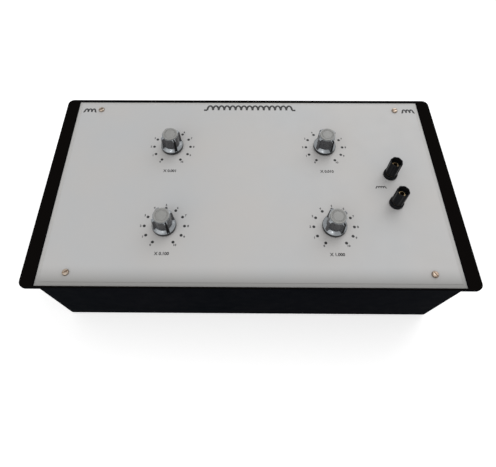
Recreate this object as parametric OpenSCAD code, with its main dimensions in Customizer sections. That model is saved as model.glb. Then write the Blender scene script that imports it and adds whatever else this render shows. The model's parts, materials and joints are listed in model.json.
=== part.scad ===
// Inductance decade box: a moulded case with a sheet panel, four rotary decade
// switches with their tapped pot-core coils, and two 4 mm binding posts.
// Origin: middle of the footprint, on the surface the feet stand on.
// +X runs to the right along the panel, +Y to the rear, +Z up.

/* [Case] */
// Width of the side rails beside the panel
rail_w = 12.7; // [9:0.1:16]
// Width of the thin rim in front of and behind the panel
rim_w = 2; // [1.4:0.1:3]
// Height of the rim above the panel sheet
rim_proud = 1.2; // [0.5:0.1:2]
// Radius of the rim's corners, seen from above
rim_corner_r = 6; // [3:0.5:9]
// Thickness of the flange under the panel
flange_t = 1.8; // [1.5:0.1:3]
// Size of the bevel under the rim's outer edge
rim_bevel = 1.2; // [0.4:0.1:1.4]
// How far the side rails stand out beyond the tub's wall
rail_overhang = 13.5; // [12:0.5:18]
// How far the front and rear rims stand out beyond the tub's wall
rim_overhang = 0.7; // [0.3:0.1:1.2]
// Height of the tub, from its underside to the panel sheet's top
tub_h = 83; // [78:1:110]
// Wall thickness of the tub
wall = 3; // [2.4:0.2:4]
// How far each wall leans in from the flange to the floor
draft_run = 2.8; // [1.5:0.1:5]
// Radius of the tub's upright corners
tub_corner_r = 5; // [4.5:0.5:9]
// Size of the bevel round the tub's underside
floor_bevel = 0.8; // [0.5:0.1:2]
// Radius of the round bosses in the case
boss_r = 4.5; // [4:0.1:5.5]
// Thickness of the ribs in the case
rib_t = 2; // [1.6:0.1:3]

/* [Feet] */
// Height of the rubber feet
foot_h = 4; // [3:0.5:8]
// Radius of the rubber feet
foot_r = 8; // [7:0.5:11]
// Distance of the feet from the tub's side walls
foot_inset_x = 22; // [18:1:34]
// Distance of the feet from the tub's front and rear walls
foot_inset_y = 20; // [20:1:30]

/* [Panel] */
// Width of the panel sheet
panel_w = 360; // [340:1:400]
// Depth of the panel sheet
panel_d = 204; // [196:1:230]
// Thickness of the panel sheet
panel_t = 1.5; // [1.2:0.1:3]
// Thickness of the printed film
film_t = 0.3; // [0.2:0.05:0.5]
// Width of the bare border round the film
film_margin = 3.5; // [2:0.5:5]
// Distance of the panel screws from the panel's side edges
screw_inset_x = 24.5; // [22:0.5:30]
// Distance of the panel screws from the panel's front and rear edges
screw_inset_y = 11.6; // [11:0.1:14]

/* [Decades] */
// Distance between the left and right knobs
knob_pitch_x = 152; // [140:1:170]
// Distance between the rear and front knobs
knob_pitch_y = 88.4; // [80:0.1:96]
// Place of the four knobs' middle, forwards of the panel's
knob_shift_y = 2.2; // [0:0.1:6]
// Rest angle of the left knobs' pointers, anticlockwise from +X
pointer_left = 300; // [280:1:320]
// Rest angle of the right knobs' pointers
pointer_right = 303; // [280:1:320]

/* [Knobs] */
// Radius of the knob's skirt
skirt_r = 10.9; // [10.5:0.1:13]
// Height of the skirt's upright edge
skirt_edge_h = 3; // [2:0.1:3.6]
// Height of the sloping part of the skirt
skirt_bevel_h = 2.5; // [1.5:0.1:4]
// How full the sloping part is, from 1 for a plain cone
skirt_crown = 1.3; // [1:0.1:2]
// Gap between the knob and the panel
knob_gap = 0.8; // [0.5:0.1:1.5]
// Height of the knob's top above the panel, without its cap
knob_h = 20; // [19:0.2:26]
// Radius of the lobes at the knob's top
lobe_r = 9.5; // [9:0.1:10]
// How far the lobes widen towards the skirt
lobe_taper = 0.8; // [0:0.1:0.9]
// Width of a lobe
lobe_w = 2.8; // [2.2:0.1:3.6]
// Radius of the hollow where a lobe meets the hub
lobe_fillet = 1.2; // [0.6:0.1:1.6]
// Radius of the round hub between the lobes
hub_r = 7.7; // [7.5:0.1:8]
// Height of the slope on top of the lobes
lobe_slope_h = 1.2; // [0.6:0.1:2.4]
// Depth of the pointer groove
groove_depth = 0.35; // [0.2:0.05:0.6]
// Width of the pointer groove at the cap
groove_top_w = 0.9; // [0.6:0.1:1.4]
// Width of the pointer groove at the skirt
groove_foot_w = 1.9; // [0.8:0.1:2.4]
// Radius of the cap on the knob
cap_r = 7.2; // [6.4:0.1:7.4]
// Height of the cap's rim
cap_h = 1.2; // [0.8:0.1:2]

/* [Switches] */
// Radius of the switch shaft
shaft_r = 3; // [2.5:0.05:3.2]
// Radius of the threaded bush
bush_r = 4.7; // [4.5:0.1:4.8]
// Height of the bush above the film
bush_h = 6; // [5.4:0.1:6.6]
// Width across the flats of the bush nut
nut_af = 12.7; // [12:0.1:13.5]
// Height of the bush nut
nut_h = 2.2; // [1.8:0.1:2.4]
// Thickness of the lock washer under the nut
lock_washer_t = 0.7; // [0.5:0.1:0.9]
// Radius of the switch frame's plate
frame_r = 21; // [20:0.5:24]
// Thickness of the switch frame's plate
frame_t = 2; // [1.5:0.1:3]
// Radius of the index wheel
index_r = 11; // [9:0.5:12]
// Thickness of the index wheel
index_t = 2.5; // [2:0.1:4]
// Distance from the frame's plate to the wafer
wafer_drop = 16; // [12:0.5:20]
// Outer radius of the wafer
wafer_r = 22; // [21:0.5:25]
// Thickness of the wafer and of the rotor
wafer_t = 1.6; // [1.2:0.1:2.4]
// Radius of the rotor
rotor_r = 10.6; // [9.6:0.1:11.5]
// Distance of the wafer studs from the shaft
stud_ring_r = 18.5; // [17.5:0.1:19]
// Radius of the wafer studs
stud_r = 1.25; // [1:0.05:1.5]

/* [Coils] */
// Thickness of the coil board
board_t = 2; // [1.6:0.1:3]
// Height of the coil board above the tub's floor
board_rise = 6; // [5:0.5:10]
// Distance between the left and right coils
coil_pitch_x = 56; // [50:1:60]
// Distance between the rear and front coils
coil_pitch_y = 84; // [60:1:90]
// Radius of the smallest pot core
core_r_units = 11; // [10:0.5:13]
// Radius of the second pot core
core_r_tens = 13; // [12:0.5:16]
// Radius of the third pot core
core_r_hundreds = 18; // [16:0.5:20]
// Radius of the largest pot core
core_r_thousands = 21; // [19:0.5:23]
// Height of a pot core as a share of its diameter
core_aspect = 0.66; // [0.55:0.01:0.7]
// Wall of a pot core as a share of its radius
core_wall_share = 0.2; // [0.15:0.01:0.25]
// Radius of the clamping screws through the cores
clamp_r = 2; // [1.5:0.1:2.5]

/* [Binding posts] */
// Distance of the posts from the panel's right edge
post_inset = 44; // [36:0.5:54]
// Distance between the two posts
post_pitch = 31.4; // [28:0.1:40]
// Place of the posts' middle, forwards of the panel's
post_shift_y = 6.3; // [0:0.1:12]
// Radius of the collar on the panel
collar_r = 6.6; // [6:0.1:8]
// Height of the collar
collar_h = 4; // [3:0.1:6]
// Radius of the screw cap
post_cap_r = 5.8; // [5.7:0.1:6.5]
// Height of the cap's top above the film
post_h = 23; // [21:0.1:28]
// Number of flutes round the cap
post_flutes = 8; // [6:1:12]
// Radius of the threaded stud
post_stud_r = 3; // [2.8:0.05:3.2]
// Radius of the socket for a 4 mm plug
socket_r = 2; // [1.95:0.01:2.1]
// Radius of the cross hole for a bare wire
cross_hole_r = 1.2; // [0.8:0.1:1.4]
// Thickness of brass between the socket and the cross hole
socket_web = 0.8; // [0.6:0.1:2]
// Depth of the open well in the cap's top
well_depth = 6.6; // [3:0.1:8]

/* [Hidden] */
$fn = 64;

// Clearances and small fixed parts of standard hardware
slack = 0.3;
running = 0.05;
seat = 0.05;
thread_gap = 0.08;
overcut = 1;
skin = 0.01;
corner_facets = 32;
screw_r = 1.45;
screw_hole_r = 1.6;
screw_head_r = 3;
screw_head_h = 1.9;
screw_len = 10;
head_edge = 0.35;
head_slope = 0.8;
head_shoulder = 0.85;
head_flat = 0.55;
slot_w = 0.8;
slot_depth = 0.9;
insert_r = 2.3;
insert_h = 6;
insert_bore_r = 1.5;

// Heights of the main levels
tub_z = foot_h;
panel_z = tub_z + tub_h - panel_t;
film_z = panel_z + panel_t;
top_z = film_z + film_t;
rim_z = film_z + rim_proud;
flange_z = panel_z - flange_t;
floor_z = tub_z + wall;

// Outline of the case
case_w = panel_w + 2 * rail_w;
case_d = panel_d + 2 * rim_w;
tub_top_w = case_w - 2 * rail_overhang;
tub_top_d = case_d - 2 * rim_overhang;
tub_floor_w = tub_top_w - 2 * draft_run;
tub_floor_d = tub_top_d - 2 * draft_run;
tub_wall_h = flange_z - tub_z;

// Places of the fixings
screw_x = panel_w / 2 - screw_inset_x;
screw_y = panel_d / 2 - screw_inset_y;
foot_x = tub_floor_w / 2 - foot_inset_x;
foot_y = tub_floor_d / 2 - foot_inset_y;
corners = [for (sx = [-1, 1]) for (sy = [-1, 1]) [sx, sy]];
screw_places = [for (c = corners) [c[0] * screw_x, c[1] * screw_y]];
foot_places = [for (c = corners) [c[0] * foot_x, c[1] * foot_y]];
slot_angles = [35, 75, 115, 155];
foot_recess_r = 4;
foot_head_h = 1.6;
foot_edge = 1;
foot_recess_h = foot_h / 2;
foot_boss_h = 5;

// Places of the decades: units, tens, hundreds, thousands
decade_side = [-1, 1, -1, 1];
decade_row = [1, 1, -1, -1];
decade_places = [for (i = [0:3]) [
    decade_side[i] * knob_pitch_x / 2,
    decade_row[i] * knob_pitch_y / 2 - knob_shift_y
]];
pointer_angles = [for (s = decade_side) s < 0 ? pointer_left : pointer_right];
coil_places = [for (i = [0:3]) [
    decade_side[i] * coil_pitch_x / 2,
    decade_row[i] * coil_pitch_y / 2 - knob_shift_y
]];
core_radii = [core_r_units, core_r_tens, core_r_hundreds, core_r_thousands];

// Knob levels, above the film
skirt_top = knob_gap + skirt_edge_h;
bevel_top = skirt_top + skirt_bevel_h;
skirt_steps = 8;
skirt_curve = [for (k = [0:skirt_steps]) let (t = k / skirt_steps) [
    hub_r + (skirt_r - hub_r) * (1 - t ^ skirt_crown),
    skirt_top + t * skirt_bevel_h
]];
lobe_top = knob_h - lobe_slope_h;
skirt_undercut = 0.5;
knob_crown = 3.4;
lobe_foot_r = lobe_r + lobe_taper;
fillet_side = lobe_w / 2 + lobe_fillet;
fillet_reach = sqrt((hub_r + lobe_fillet) ^ 2 - fillet_side ^ 2);
fillet_start = hub_r / (hub_r + lobe_fillet);
nut_corner_r = nut_af / 2 / cos(30);
nut_pocket_r = nut_corner_r + 2 * slack;
nut_pocket_top = lock_washer_t + seat + nut_h + slack;
clip_t = 0.6;
clip_r = bush_r - slack;
bush_pocket_r = bush_r + 2 * slack;
bush_pocket_top = bush_h + running + clip_t + 2 * slack;
shaft_top = knob_h - knob_crown;
bore_top = shaft_top + slack;
flat_depth = 0.6;
flat_z = bush_pocket_top + slack;
grub_z = (flat_z + shaft_top) / 2;
grub_r = 1.5;
grub_turn = 135;
grub_len = 5;
grub_hex_af = 1.5;
cap_spigot_r = 5;
cap_spigot_h = 1.2;
cap_ring_w = 1.2;
cap_dip = 0.4;
cap_groove_w = 0.9;

// Switch levels, down from the top
bush_hole_r = bush_r + slack;
frame_z = panel_z - frame_t;
index_z = frame_z - 2 * slack - index_t;
wafer_z = frame_z - wafer_drop - wafer_t;
rotor_hole_r = rotor_r + slack;
positions = 12;
step_angle = 360 / positions;
contact_count = 11;
first_contact = 240;
common_angle = 270;
roller_r = 1.5;
leaf_t = 0.6;
leaf_h = 5;
leaf_span = 110;
leaf_r = index_r + slack + 2 * roller_r;
leaf_gap = 0.1;
leaf_post_w = 4;
contact_w = 2.4;
contact_t = 0.4;
contact_lift = 0.8;
contact_post_r = 1;
contact_reach = 3;
blade_t = 0.4;
ring_w = 2.2;
ring_r = rotor_r - ring_w;
tip_r = rotor_r - slack;
contact_overlap = 1.4;
contact_inner_r = rotor_r - contact_overlap;
common_inner_r = ring_r - contact_overlap;
stud_angle = 15;
sleeve_wall = 1.1;
sleeve_r = stud_r + sleeve_wall;
stud_nut_af = 5;
stud_nut_h = 2;
stud_places = [for (p = decade_places) for (a = [0, 180]) [
    p[0] + stud_ring_r * cos(stud_angle + a),
    p[1] + stud_ring_r * sin(stud_angle + a)
]];
shaft_tail = 3;
shaft_foot_z = wafer_z - shaft_tail;

// Coil levels
board_z = floor_z + board_rise;
board_top = board_z + board_t;
board_edge = 8;
board_w = coil_pitch_x + 2 * (core_r_thousands + board_edge + 2 * boss_r);
board_d = coil_pitch_y + 2 * (core_r_thousands + board_edge);
board_boss_x = board_w / 2 - board_edge;
board_boss_y = board_d / 2 - board_edge;
board_places = [for (c = corners) [
    c[0] * board_boss_x,
    c[1] * board_boss_y - knob_shift_y
]];
clamp_hole_r = clamp_r + slack;
clamp_head_r = 2 * clamp_r;
clamp_head_h = clamp_r;
clamp_nut_af = 3.5 * clamp_r;
clamp_nut_h = 1.5 * clamp_r;
window_w_share = 0.5;
core_post_wall = 2.4;
core_post_r = clamp_hole_r + core_post_wall;
core_gap = 0.1;
former_t = 0.8;

// Wires
loom_r = 1.8;
lead_r = 0.8;
link_sag = 12;
wire_gap = 0.35;
end_share = 0.005;
lug_r = wafer_r + contact_reach - lead_r;

// Binding post levels, above the film
post_x = panel_w / 2 - post_inset;
post_places = [for (s = [1, -1]) [post_x, s * post_pitch / 2 - post_shift_y]];
collar_crown = 0.8;
spigot_wall = 1.4;
spigot_r = post_stud_r + spigot_wall;
post_hole_r = spigot_r + slack;
clamp_washer_t = 0.8;
clamp_washer_r = post_cap_r - 2 * slack;
washer_z = collar_h + slack;
post_cap_z = washer_z + clamp_washer_t + 2 * seat;
well_gap = 1.6;
well_r = post_stud_r + well_gap;
well_z = post_h - well_depth;
stud_rise = 0.8;
stud_top = well_z + stud_rise;
flute_cut_r = 5;
flute_depth = 0.5;
cap_turns = [-10, 0];
cross_hole_z = post_cap_z + cross_hole_r;
socket_depth = stud_top - cross_hole_z - cross_hole_r - socket_web;
rear_insulator_t = 3;
tag_t = 0.6;
tag_len = 14;
tag_w = 4;
post_nut_af = 10;
post_nut_h = 3;
post_washer_r = 6;
post_washer_t = 1;
tail_len = 3;
insulator_z = panel_z - rear_insulator_t;
post_washer_z = insulator_z - seat - post_washer_t;
first_nut_z = post_washer_z - seat - post_nut_h;
tag_z = first_nut_z - seat - tag_t;
second_nut_z = tag_z - seat - post_nut_h;
stud_foot_z = second_nut_z - tail_len;

// A rectangle with round corners, about the origin
module rounded(w, d, r) {
    x = w / 2 - r;
    y = d / 2 - r;
    square([2 * x, d], center = true);
    square([w, 2 * y], center = true);
    for (c = corners) translate([c[0] * x, c[1] * y]) circle(r);
}

// A thin slab with round corners that ends a hull
module slab(w, d, r, z, h = skin) {
    translate([0, 0, z]) linear_extrude(h) rounded(w, d, r, $fn = corner_facets);
}

// A hexagon prism, given across its flats
module hexagon(af, h) {
    cylinder(r = af / 2 / cos(30), h = h, $fn = 6);
}

// A washer or a tube
module ring(outer, inner, h) {
    difference() {
        cylinder(r = outer, h = h);
        translate([0, 0, -overcut]) cylinder(r = inner, h = h + 2 * overcut);
    }
}

// A pan head with a slot, its shank below the origin
module pan_screw(shank_r, shank_len, head_r, head_h) {
    difference() {
        rotate_extrude() polygon([
            [0, -shank_len],
            [shank_r, -shank_len],
            [shank_r, 0],
            [head_r, 0],
            [head_r, head_h * head_edge],
            [head_r * head_shoulder, head_h * head_slope],
            [head_r * head_flat, head_h],
            [0, head_h]
        ]);
        translate([-head_r - overcut, -slot_w / 2, head_h - slot_depth])
            cube([2 * (head_r + overcut), slot_w, slot_depth + overcut]);
    }
}

// A rib from a corner boss out to the leaning wall
module corner_rib() {
    foot_len = tub_floor_d / 2 - wall / 2 - screw_y;
    head_len = tub_top_d / 2 - wall / 2 - screw_y;
    rotate([90, 0, 90]) translate([0, 0, -rib_t / 2]) linear_extrude(rib_t) polygon([
        [0, 0],
        [foot_len, 0],
        [head_len, flange_z - tub_z - wall / 2],
        [0, flange_z - tub_z - wall / 2]
    ]);
}

// Tub with its flange, the panel's recess, bosses, ribs and board posts
module case_tub() {
    inner_w = tub_floor_w - 2 * wall;
    inner_d = tub_floor_d - 2 * wall;
    inner_r = tub_corner_r - wall / 2;
    lean = draft_run * (flange_z - floor_z) / tub_wall_h;
    color("#101214") difference() {
        union() {
            difference() {
                hull() {
                    slab(tub_floor_w - 2 * floor_bevel, tub_floor_d - 2 * floor_bevel,
                         tub_corner_r - floor_bevel, tub_z);
                    slab(tub_floor_w, tub_floor_d, tub_corner_r, tub_z + floor_bevel);
                    slab(tub_top_w, tub_top_d, tub_corner_r, flange_z);
                }
                hull() {
                    slab(inner_w, inner_d, inner_r, floor_z);
                    slab(inner_w + 2 * lean, inner_d + 2 * lean, inner_r, flange_z);
                }
            }
            difference() {
                hull() {
                    slab(case_w - 2 * rim_bevel, case_d - 2 * rim_bevel,
                         rim_corner_r - rim_bevel, flange_z);
                    slab(case_w, case_d, rim_corner_r, flange_z + rim_bevel,
                         rim_z - flange_z - rim_bevel);
                }
                slab(inner_w + 2 * lean, inner_d + 2 * lean, inner_r,
                     flange_z - overcut, rim_z - flange_z + 2 * overcut);
            }
            for (p = screw_places) translate([p[0], p[1], tub_z + wall / 2]) {
                cylinder(r = boss_r, h = panel_z - tub_z - wall / 2);
                rotate(p[1] > 0 ? 0 : 180) corner_rib();
            }
            for (p = foot_places) translate([p[0], p[1], tub_z + wall / 2])
                cylinder(r = boss_r, h = foot_boss_h + wall / 2);
            for (p = board_places) translate([p[0], p[1], tub_z + wall / 2])
                cylinder(r = boss_r, h = board_z - tub_z - wall / 2);
        }
        translate([0, 0, panel_z]) linear_extrude(tub_h) square(
            [panel_w + 2 * slack, panel_d + 2 * slack], center = true);
        for (p = screw_places) translate([p[0], p[1], panel_z - screw_len - 2 * overcut])
            cylinder(r = insert_bore_r + slack, h = screw_len + 3 * overcut);
        for (p = screw_places) translate([p[0], p[1], panel_z - insert_h - slack])
            cylinder(r = insert_r + running, h = insert_h + slack + overcut);
        for (p = foot_places) translate([p[0], p[1], tub_z - overcut])
            cylinder(r = screw_r + running, h = foot_boss_h + overcut);
        for (p = board_places) translate([p[0], p[1], floor_z])
            cylinder(r = screw_r + running, h = board_rise + overcut);
    }
}

// Brass inserts in the four corner bosses
module thread_inserts() {
    color("#c9a24a") for (p = screw_places)
        translate([p[0], p[1], panel_z - insert_h]) ring(insert_r, insert_bore_r, insert_h);
}

// Rubber feet with a recess for their screws
module rubber_feet() {
    color("#1b1b1b") for (p = foot_places) translate([p[0], p[1], 0]) rotate_extrude() polygon([
        [foot_recess_r, 0],
        [foot_r - foot_edge, 0],
        [foot_r, foot_edge],
        [foot_r, foot_h],
        [screw_hole_r, foot_h],
        [screw_hole_r, foot_recess_h],
        [foot_recess_r, foot_recess_h]
    ]);
}

module foot_screws() {
    color("#b8bbbd") for (p = foot_places)
        translate([p[0], p[1], foot_recess_h]) rotate([180, 0, 0])
            pan_screw(screw_r, foot_h - foot_recess_h + foot_boss_h - overcut,
                      screw_head_r, foot_head_h);
}

// Holes through the panel and its film
module panel_holes(grow) {
    for (p = screw_places) translate(p) circle(screw_hole_r + grow);
    for (p = decade_places) translate(p) circle(bush_hole_r + grow);
    for (p = post_places) translate(p) circle(post_hole_r + grow);
}

module front_panel() {
    color("#b9bab8") translate([0, 0, panel_z]) linear_extrude(panel_t) difference() {
        square([panel_w, panel_d], center = true);
        panel_holes(0);
    }
}

module printed_film() {
    color("#bdbebc") translate([0, 0, film_z]) linear_extrude(film_t) difference() {
        square([panel_w - 2 * film_margin, panel_d - 2 * film_margin], center = true);
        panel_holes(0);
    }
}

module panel_screws() {
    color("#c4c6c8") for (i = [0:3])
        translate([screw_places[i][0], screw_places[i][1], top_z]) rotate(slot_angles[i])
            pan_screw(screw_r, screw_len, screw_head_r, screw_head_h);
}

// Insulating board that carries the four coils
module coil_board() {
    color("#8a5a2b") translate([0, 0, board_z]) linear_extrude(board_t) difference() {
        translate([0, -knob_shift_y]) rounded(board_w, board_d, board_edge / 2);
        for (p = board_places) translate(p) circle(screw_hole_r);
        for (p = coil_places) translate(p) circle(clamp_hole_r);
    }
}

function core_h(i) = 2 * core_radii[i] * core_aspect;

// Board screws, and the screw and nut that clamp each core
module board_fixings() {
    color("#c4c6c8") {
        for (p = board_places) translate([p[0], p[1], board_top])
            pan_screw(screw_r, board_t + board_rise - overcut, screw_head_r, screw_head_h);
        for (i = [0:3]) translate([coil_places[i][0], coil_places[i][1], board_top]) {
            translate([0, 0, core_h(i)])
                pan_screw(clamp_r, core_h(i) + board_t + clamp_nut_h,
                          clamp_head_r, clamp_head_h);
            translate([0, 0, -board_t - clamp_nut_h]) difference() {
                hexagon(clamp_nut_af, clamp_nut_h);
                translate([0, 0, -overcut])
                    cylinder(r = clamp_r + running, h = clamp_nut_h + 2 * overcut);
            }
        }
    }
}

// Ferrite pot core in two halves, with two windows for the leads
module coil_core(i) {
    r = core_radii[i];
    h = core_h(i);
    w = core_wall_share * r;
    color("#33353a") translate([coil_places[i][0], coil_places[i][1], board_top]) {
        for (half = [0, 1]) translate([0, 0, half * h]) mirror([0, 0, half]) difference() {
            rotate_extrude() polygon([
                [clamp_hole_r, 0],
                [r, 0],
                [r, (h - core_gap) / 2],
                [r - w, (h - core_gap) / 2],
                [r - w, w],
                [core_post_r, w],
                [core_post_r, (h - core_gap) / 2],
                [clamp_hole_r, (h - core_gap) / 2]
            ]);
            translate([-r - overcut, -r * window_w_share / 2, w])
                cube([w + 2 * overcut, r * window_w_share, h]);
            translate([r - w - overcut, -r * window_w_share / 2, w])
                cube([w + 2 * overcut, r * window_w_share, h]);
        }
    }
}

// Tapped winding on its former, inside the core
module winding(i) {
    r = core_radii[i];
    h = core_h(i);
    w = core_wall_share * r;
    inner = core_post_r + slack;
    outer = r - w - slack;
    low = w + slack;
    high = h - w - slack;
    color("#b4682c") translate([coil_places[i][0], coil_places[i][1], board_top])
        rotate_extrude() polygon([
            [inner, low],
            [outer, low],
            [outer, low + former_t],
            [outer - former_t, low + former_t],
            [outer - former_t, high - former_t],
            [outer, high - former_t],
            [outer, high],
            [inner, high]
        ]);
}

// Moves a piece to a decade's shaft
module at_decade(i, z) {
    translate([decade_places[i][0], decade_places[i][1], z]) children();
}

// The knob's round outline, moved in by the given inset
module knob_outline(inset) {
    polygon([
        [0, skirt_top],
        [lobe_foot_r - inset, skirt_top],
        [lobe_r - inset, lobe_top],
        [hub_r, knob_h - inset],
        [0, knob_h - inset]
    ]);
}

// The column's plan: a round hub with four lobes, hollowed where they meet
module knob_plan() {
    circle(r = hub_r);
    for (k = [0:3]) rotate(90 * k) {
        translate([0, -lobe_w / 2]) square([skirt_r, lobe_w]);
        for (side = [-1, 1]) difference() {
            polygon([
                [0, 0],
                [fillet_reach, 0],
                [fillet_reach, side * lobe_w / 2],
                [fillet_reach * fillet_start, side * fillet_side * fillet_start]
            ]);
            translate([fillet_reach, side * fillet_side]) circle(r = lobe_fillet);
        }
    }
}

// Pointer knob: a round skirt under a hub with four lobes, the front one marked
module knob(i) {
    color("#8d9093") at_decade(i, top_z) rotate(pointer_angles[i]) difference() {
        union() {
            rotate_extrude() polygon([
                [0, knob_gap],
                [skirt_r - skirt_undercut, knob_gap],
                [skirt_r, knob_gap + skirt_undercut],
                each skirt_curve,
                [0, bevel_top]
            ]);
            intersection() {
                rotate_extrude() knob_outline(0);
                linear_extrude(knob_h) knob_plan();
            }
        }
        translate([0, 0, -overcut]) cylinder(r = nut_pocket_r, h = nut_pocket_top + overcut);
        cylinder(r = bush_pocket_r, h = bush_pocket_top);
        cylinder(r = shaft_r + running, h = bore_top);
        translate([0, 0, knob_h - cap_spigot_h - slack / 2])
            cylinder(r = cap_spigot_r + running, h = cap_spigot_h + overcut);
        translate([0, 0, grub_z]) rotate([0, 90, grub_turn])
            cylinder(r = grub_r + running, h = skirt_r + overcut);
        difference() {
            rotate([90, 0, 90]) linear_extrude(skirt_r) polygon([
                [-groove_foot_w / 2, bevel_top],
                [groove_foot_w / 2, bevel_top],
                [groove_top_w / 2, knob_h + overcut],
                [-groove_top_w / 2, knob_h + overcut]
            ]);
            rotate_extrude() knob_outline(groove_depth);
        }
    }
}

// Flat cap with a raised ring round a dished groove
module knob_cap(i) {
    color("#a9abab") at_decade(i, top_z + knob_h) rotate_extrude() polygon([
        [0, -cap_spigot_h],
        [cap_spigot_r, -cap_spigot_h],
        [cap_spigot_r, 0],
        [cap_r, 0],
        [cap_r, cap_h - cap_dip],
        [cap_r - cap_dip, cap_h],
        [cap_r - cap_ring_w, cap_h],
        [cap_r - cap_ring_w - cap_dip, cap_h - cap_dip],
        [cap_r - cap_ring_w - cap_groove_w, cap_h - cap_dip],
        [cap_r - cap_ring_w - cap_groove_w - cap_dip, cap_h - cap_dip / 2],
        [0, cap_h - cap_dip / 2]
    ]);
}

// Grub screw, from the shaft's flat out into the hub, between two lobes at the back
module grub_screw(i) {
    tip = shaft_r - flat_depth + running;
    color("#55585c") at_decade(i, top_z + grub_z) rotate([0, 90, pointer_angles[i] + grub_turn])
        translate([0, 0, tip]) difference() {
            cylinder(r = grub_r, h = grub_len);
            translate([0, 0, grub_len / 2]) hexagon(grub_hex_af, grub_len);
        }
}

// Shaft with its flat, its retaining clip and the index wheel
module switch_shaft(i) {
    color("#c3c5c6") at_decade(i, 0) {
        difference() {
            translate([0, 0, shaft_foot_z])
                cylinder(r = shaft_r, h = top_z + shaft_top - shaft_foot_z);
            rotate(pointer_angles[i] + grub_turn) translate([
                shaft_r - flat_depth,
                -shaft_r - overcut,
                top_z + flat_z
            ]) cube([overcut + flat_depth, 2 * (shaft_r + overcut), shaft_top]);
        }
        translate([0, 0, top_z + bush_h + running]) cylinder(r = clip_r, h = clip_t);
        translate([0, 0, index_z]) difference() {
            cylinder(r = index_r, h = index_t);
            for (k = [0:positions - 1]) rotate(k * step_angle) translate([
                index_r + roller_r - slack, 0, -overcut
            ]) cylinder(r = roller_r + slack, h = index_t + 2 * overcut);
        }
    }
}

// Rotor disc, with the contact ring and its tip
module rotor(i) {
    rest_angle = first_contact - (contact_count - 1) * step_angle;
    color("#d8b878") at_decade(i, wafer_z) {
        ring(rotor_r, shaft_r + running, wafer_t);
        translate([0, 0, wafer_t]) {
            ring(ring_r, ring_r - ring_w, blade_t);
            rotate(rest_angle) translate([ring_r - ring_w / 2, -contact_w / 2, 0])
                cube([tip_r - ring_r + ring_w / 2, contact_w, blade_t]);
        }
    }
}

// Frame plate with the threaded bush
module switch_frame(i) {
    color("#9fa3a6") at_decade(i, 0) difference() {
        union() {
            translate([0, 0, frame_z]) cylinder(r = frame_r, h = frame_t);
            translate([0, 0, frame_z]) cylinder(r = bush_r, h = top_z + bush_h - frame_z);
        }
        translate([0, 0, frame_z - overcut])
            cylinder(r = shaft_r + running, h = top_z + bush_h - frame_z + 2 * overcut);
        for (a = [0, 180]) rotate(stud_angle + a) translate([stud_ring_r, 0, frame_z - overcut])
            cylinder(r = stud_r + running, h = frame_t + 2 * overcut);
    }
}

// Fixed wafer round the rotor
module wafer(i) {
    color("#7a4a22") at_decade(i, wafer_z) difference() {
        ring(wafer_r, rotor_hole_r, wafer_t);
        for (a = [0, 180]) rotate(stud_angle + a) translate([stud_ring_r, 0, -overcut])
            cylinder(r = stud_r + running, h = wafer_t + 2 * overcut);
    }
}

// Lock washers and nuts on the bushes
module bush_nuts() {
    color("#c8cacb") for (i = [0:3]) at_decade(i, top_z) {
        ring(nut_corner_r, bush_r + running, lock_washer_t);
        translate([0, 0, lock_washer_t + seat]) difference() {
            hexagon(nut_af, nut_h);
            translate([0, 0, -overcut]) cylinder(r = bush_r + running, h = nut_h + 2 * overcut);
        }
    }
}

// Leaf springs with the rollers that drop into the index wheels
module index_springs() {
    leaf_z = frame_z - leaf_h;
    color("#b9bdc0") for (i = [0:3]) at_decade(i, 0) {
        rotate(90) translate([index_r + slack + roller_r, 0, index_z])
            cylinder(r = roller_r, h = index_t);
        translate([0, 0, leaf_z]) rotate(90 - leaf_span / 2)
            rotate_extrude(angle = leaf_span) translate([leaf_r + leaf_gap, 0])
                square([leaf_t, leaf_h]);
        translate([0, 0, leaf_z]) rotate(90 - leaf_span / 2)
            translate([leaf_r + leaf_gap, -leaf_post_w, 0]) cube([leaf_t, leaf_post_w, leaf_h]);
    }
}

// Eleven tap contacts and the common one on each wafer
module wafer_contacts() {
    module contact(inner) {
        post_place = (rotor_hole_r + wafer_r) / 2;
        translate([post_place, 0, 0]) cylinder(r = contact_post_r, h = contact_lift);
        translate([inner, -contact_w / 2, contact_lift])
            cube([wafer_r + contact_reach - inner, contact_w, contact_t]);
    }
    color("#d9d2b8") for (i = [0:3]) at_decade(i, wafer_z + wafer_t) {
        for (k = [0:contact_count - 1])
            rotate(first_contact - k * step_angle) contact(contact_inner_r);
        rotate(common_angle) contact(common_inner_r);
    }
}

// Studs, sleeves and nuts that carry the wafers
module wafer_studs() {
    foot_z = wafer_z - stud_nut_h - overcut;
    color("#b4b8bb") for (p = stud_places) translate([p[0], p[1], 0]) {
        translate([0, 0, foot_z]) cylinder(r = stud_r, h = panel_z - foot_z);
        translate([0, 0, wafer_z + wafer_t]) ring(sleeve_r, stud_r + running, wafer_drop);
        translate([0, 0, wafer_z - stud_nut_h]) difference() {
            hexagon(stud_nut_af, stud_nut_h);
            translate([0, 0, -overcut])
                cylinder(r = stud_r + running, h = stud_nut_h + 2 * overcut);
        }
    }
}

// Collar on the panel, with the spigot that centres it in the panel's hole
module post_collar(i) {
    color("#15171a") translate([post_places[i][0], post_places[i][1], top_z])
        rotate_extrude() polygon([
            [post_stud_r + running, panel_z - top_z],
            [spigot_r, panel_z - top_z],
            [spigot_r, 0],
            [collar_r, 0],
            [collar_r, collar_h - 2 * collar_crown],
            [collar_r - collar_crown / 3, collar_h - collar_crown],
            [collar_r - collar_crown, collar_h - collar_crown / 3],
            [collar_r - 2 * collar_crown, collar_h],
            [post_stud_r + running, collar_h]
        ]);
}

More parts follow.
